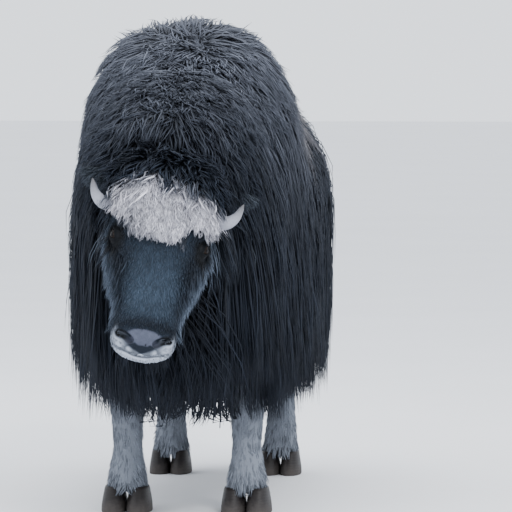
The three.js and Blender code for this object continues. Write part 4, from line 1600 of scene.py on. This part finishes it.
@dataclass(frozen=True)
class Hoof:
    """A cloven hoof of two rounded toes; sizes in millimetres."""

    name: str
    node: str
    width: float
    length: float
    height: float = 51.0
    corners: int = 36
    square: float = 0.87

    def ring(self, side: int, z: float, grow: float) -> list[Vector]:
        """One ring of a toe's wall.

        Args:
            side: Which toe.
            z: Its height.
            grow: Its size as a share of the widest ring's.

        Returns:
            Its places in metres.
        """
        low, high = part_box(self.node)
        middle = Vector(((low.x + high.x) / 2, (low.y + high.y) / 2, 0.0))
        rise = z / self.height
        half = self.width * (0.25 - 0.02 * rise) * grow
        front = self.length * (0.55 - 0.16 * rise) * grow
        back = self.length * (0.40 - 0.03 * rise) * grow
        places = []
        for a in (2 * math.pi * i / self.corners for i in range(self.corners)):
            c, s = math.cos(a), math.sin(a)
            x = half * math.copysign(abs(c) ** self.square, c)
            y = -(front if s > 0 else back) * math.copysign(abs(s) ** self.square, s)
            places.append(middle + Vector((side * self.width * 0.245 + x, y + self.length * 0.08, z)) * MM)
        return places

    def build(self) -> bpy.types.Object:
        """Makes both toes, with a rounded wall, a flat sole and a soft coronet."""
        mesh = bmesh.new()
        rows = [(0.0, 0.96), (2.5, 1.0), (14, 1.0), (28, 0.95), (40, 0.88), (47, 0.84), (self.height, 0.78)]
        for side in (-1, 1):
            loft(mesh, [self.ring(side, z, grow) for z, grow in rows])
        return finished(mesh, self.name)


class Studio:
    """The camera of the photograph, a pale floor and soft light."""

    SKY = (0.88, 0.93, 1.0, 1)
    SKY_STRENGTH = 1.9
    LIT = (0, 0, 0.5)
    LIGHTS = (
        ("key light", (2.4, -4.2, 4.2), 1.8, 240),
        ("top light", (-0.6, 0.4, 4.6), 4.0, 130),
        ("fill light", (-4.0, -3.4, 2.2), 2.0, 45),
    )

    @staticmethod
    def hang(data: bpy.types.ID, place: Vector, ahead: Vector) -> bpy.types.Object:
        """Places a camera or a lamp, looking ahead."""
        made = bpy.data.objects.new(data.name, data)
        made.location = place
        made.rotation_euler = ahead.to_track_quat("-Z", "Y").to_euler()
        bpy.context.scene.collection.objects.link(made)
        return made

    @classmethod
    def camera(cls) -> None:
        """Sets the camera where the photograph was taken from."""
        azimuth, rise = math.radians(CAMERA_AZIMUTH), math.radians(CAMERA_RISE)
        back = Vector((math.sin(azimuth) * math.cos(rise), -math.cos(azimuth) * math.cos(rise), math.sin(rise)))
        right = Vector((math.cos(azimuth), math.sin(azimuth), 0))
        aim = Vector((0, AIM_Y, AIM_HEIGHT)) + right * AIM_RIGHT
        data = bpy.data.cameras.new("camera")
        data.sensor_width = SENSOR
        data.lens = FOCAL_PIXELS * SENSOR / PHOTO_PIXELS
        bpy.context.scene.camera = cls.hang(data, aim + back * CAMERA_DISTANCE, -back)

    @staticmethod
    def floor() -> None:
        """Lays the floor."""
        mesh = bmesh.new()
        bmesh.ops.create_grid(mesh, x_segments=2, y_segments=2, size=40)
        piece = finished(mesh, "floor")
        piece.data.materials.append(FloorFinish().material())

    @classmethod
    def lights(cls) -> None:
        """Hangs large soft lights above, and a pale even sky."""
        world = bpy.data.worlds.new("sky")
        bpy.context.scene.world = world
        world.use_nodes = True
        sky = world.node_tree.nodes["Background"]
        sky.inputs["Color"].default_value = cls.SKY
        sky.inputs["Strength"].default_value = cls.SKY_STRENGTH
        for name, place, size, power in cls.LIGHTS:
            data = bpy.data.lights.new(name, "AREA")
            data.size = size
            data.energy = power
            cls.hang(data, Vector(place), Vector(cls.LIT) - Vector(place))


class Fleece:
    """Plans every kind of hair, and where it grows."""

    QUICK_SHARE = 0.4
    SPANS = {"mane": (-0.62, -0.30), "shoulder": (-0.30, -0.02), "flank": (-0.02, 0.32), "rump": (0.32, 0.9)}
    FACE = {"over": ("head",), "slot": "face_fur"}

    # Each kind: name, count, length, width, seed, rings, droop, clump, curl, stand, dark, light
    SKIRT = Hair("coat", 4000, (0.25, 0.40), 0.0060, 41, 4, 0.40, 0.62, 0.12, 0.22, 0.50, 0.35,
                 kept=True, lift=0.030, lowest=HEM)
    KINDS = (
        Hair("poll_wool", 6000, (0.045, 0.085), 0.0048, 51, 4, 0.22, 0.60, 0.55, 0.85, 0.40, 0.60),
        Hair("back_wool", 4800, (0.045, 0.080), 0.0042, 52, 3, 0.10, 0.50, 0.50, 0.70, 0.35, 0.60, kept=True),
        Hair("brow_wool", 7600, (0.026, 0.046), 0.0030, 61, 4, 0.20, 0.75, 0.60, 0.60, 0.45, 0.20, **FACE),
        Hair("face_hair", 12600, (0.010, 0.017), 0.0020, 62, 2, 0.10, 0.20, 0.10, 0.20, 0.30, 0.30, **FACE),
        Hair("jowl_hair", 3000, (0.026, 0.044), 0.0030, 68, 3, 0.10, 0.50, 0.15, 0.55, 0.30, 0.50, **FACE),
        Hair("cheek_ruff", 2700, (0.07, 0.13), 0.0046, 63, 4, 0.40, 0.60, 0.20, 0.50, 0.40, 0.30, **FACE),
        Hair("beard", 1700, (0.06, 0.11), 0.0044, 64, 4, 0.55, 0.60, 0.12, 0.35, 0.40, 0.30, **FACE),
        Hair("ear_hair", 1500, (0.020, 0.036), 0.0028, 65, 3, 0.30, 0.40, 0.30, 0.50, 0.30, 0.30,
             over=(), slot="face_fur"),
        Hair("leg_hair", 13500, (0.016, 0.028), 0.0029, 66, 2, 0.10, 0.35, 0.10, 0.18, 0.30, 0.25,
             over=(), lowest=LEG_HEM, slot="stocking"),
        Hair("tail_hair", 900, (0.05, 0.09), 0.0044, 67, 4, 0.30, 0.60, 0.15, 0.12, 0.40, 0.40,
             over=(), kept=True),
    )
    LONGER = {
        "brow_wool": lambda roots: 1 - 0.35 * smooth(0.27, 0.31, roots.site.head_t),
        "face_hair": lambda roots: 1 - 0.60 * smooth(0.55, 0.85, roots.site.head_t),
        "leg_hair": lambda roots: 1 + 0.8 * smooth(0.11, 0.07, roots.points[:, 2]),
    }

    def __init__(self, hide: Hide) -> None:
        """Prepares the coat and its one material."""
        self.coat = Coat(hide)
        self.material = FurFinish().material()
        self.share = 1.0

    def build(self) -> None:
        """Grows the whole coat, from the skirt to the tail."""
        for hair, weight in self.skirt():
            self.piece(hair, weight, self.hang)
        covers = self.wool() | self.face() | self.limbs()
        for hair in self.KINDS:
            self.piece(hair, covers[hair.name], self.LONGER.get(hair.name))

    def piece(self, hair: Hair, weight: Array, longer: Callable[[Roots], Array] | None) -> None:
        """Grows, builds and dresses one piece of coat.

        Args:
            hair: The kind of hair.
            weight: Its cover on each triangle of the hide.
            longer: A factor of length for each root.
        """
        hair = replace(hair, count=int(hair.count * self.share))
        piece = self.coat.blades(hair, *self.coat.grow(hair, weight, longer))
        dressed(piece, self.material, hair.slot)
        LOG.info("%s: %d tufts, %d triangles", hair.name, hair.count, len(piece.data.polygons))

    @staticmethod
    def hang(roots: Roots) -> Array:
        """How long the coat grows: longest low on the sides, short over the back and the nape."""
        p, normals = roots.points, roots.normals
        low = smooth(0.90, 0.66, p[:, 2])
        front = smooth(-0.30, -0.44, p[:, 1]) * smooth(-0.2, -0.8, normals[:, 1])
        return (0.30 + 0.70 * low) * (1 - 0.62 * front * smooth(0.52, 0.70, p[:, 2]))

    def skirt(self) -> Iterator[tuple[Hair, Array]]:
        """The long hair of the body and its cover, for each side of each section."""
        site = self.coat.site
        body = site.within("trunk", "neck") * (0.2 + 0.8 * smooth(-0.8, -0.2, self.coat.face_normals[:, 2]))
        x, y = site.points[:, 0], site.points[:, 1]
        for order, (name, (start, end)) in enumerate(self.SPANS.items()):
            for side, sign in SIDES.items():
                seed = self.SKIRT.seed + 2 * order + (sign < 0)
                hair = replace(self.SKIRT, name=f"coat_{name}_{side}", seed=seed)
                yield hair, body * (y >= start) * (y < end) * (x * sign > 0)

    def wool(self) -> dict[str, Array]:
        """Where the thick wool of the poll and the nape grows, and the back's shorter frizz."""
        site, normals = self.coat.site, self.coat.face_normals
        y, z = site.points[:, 1], site.points[:, 2]
        nape = site.within("neck", "trunk") * smooth(-0.20, -0.32, y) * smooth(0.60, 0.72, z)
        nape = nape * smooth(0.0, -0.5, normals[:, 1] - 0.5 * normals[:, 2])
        poll = 1.6 * site.within("head") * smooth(0.20, 0.14, site.head_t) * smooth(-0.1, 0.4, site.upper)
        return {
            "poll_wool": (poll + nape) * (1 - 0.9 * Markings.brow(site)),
            "back_wool": site.within("trunk", "neck") * smooth(0.72, 0.86, z),
        }

    def face(self) -> dict[str, Array]:
        """Where the brow's pale wool, the face's short hair, the jowls', the ruff, the beard and the ears' grow."""
        site = self.coat.site
        head, t, upper, haired = site.within("head"), site.head_t, site.upper, Markings.haired(site)
        brow = head * Markings.brow(site) * haired
        ruff = head * smooth(0.30, 0.1, t) * smooth(0.1, -0.3, upper)
        return {
            "brow_wool": brow,
            "face_hair": head * (1 - 0.85 * brow) * haired * smooth(0.02, 0.1, t),
            "jowl_hair": head * bell(t, 0.42, 0.13) * bell(site.rise, -10, 22) * haired * smooth(0.62, 0.56, t),
            "cheek_ruff": ruff + 0.6 * site.within("neck") * (site.t > 0.75),
            "beard": head * smooth(-0.35, -0.75, upper) * smooth(0.12, 0.2, t) * smooth(0.58, 0.48, t),
            "ear_hair": site.within(*EARS).astype(float),
        }

    def limbs(self) -> dict[str, Array]:
        """Where the short hair of the legs and the tail's grow."""
        site = self.coat.site
        legs = site.within(*LEGS) * smooth(0.36, 0.28, site.points[:, 2])
        return {"leg_hair": legs, "tail_hair": site.within("tail").astype(float)}


def main() -> None:
    """Builds the scene piece by piece."""
    logging.basicConfig(level=logging.INFO, format="%(message)s")
    Studio.camera()
    hide = Hide()
    hide.build()
    flesh = [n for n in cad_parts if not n.startswith(("eye", "horn")) and "hoof" not in n]
    dressed(hide.object, HideFinish().material(), "face_fur", *flesh)
    LOG.info("hide: %d faces", len(hide.object.data.polygons))
    horn_skin, eye_skin, hoof_skin = HornFinish().material(), EyeFinish().material(), HoofFinish().material()
    for side, sign in SIDES.items():
        dressed(Eye(sign).build(), eye_skin, "eye", f"eye_{side}")
        dressed(Horn(sign).build(), horn_skin, "horn", f"horn_{side}")
        for leg, width, length in (("fore", 104.0, 112.0), ("hind", 94.0, 104.0)):
            node = f"{leg}_hoof_{side}"
            dressed(Hoof(f"{leg}_toes_{side}", node, width, length).build(), hoof_skin, "hoof", node)
    Fleece(hide).build()
    Studio.floor()
    Studio.lights()


if __name__ == "__main__":
    main()
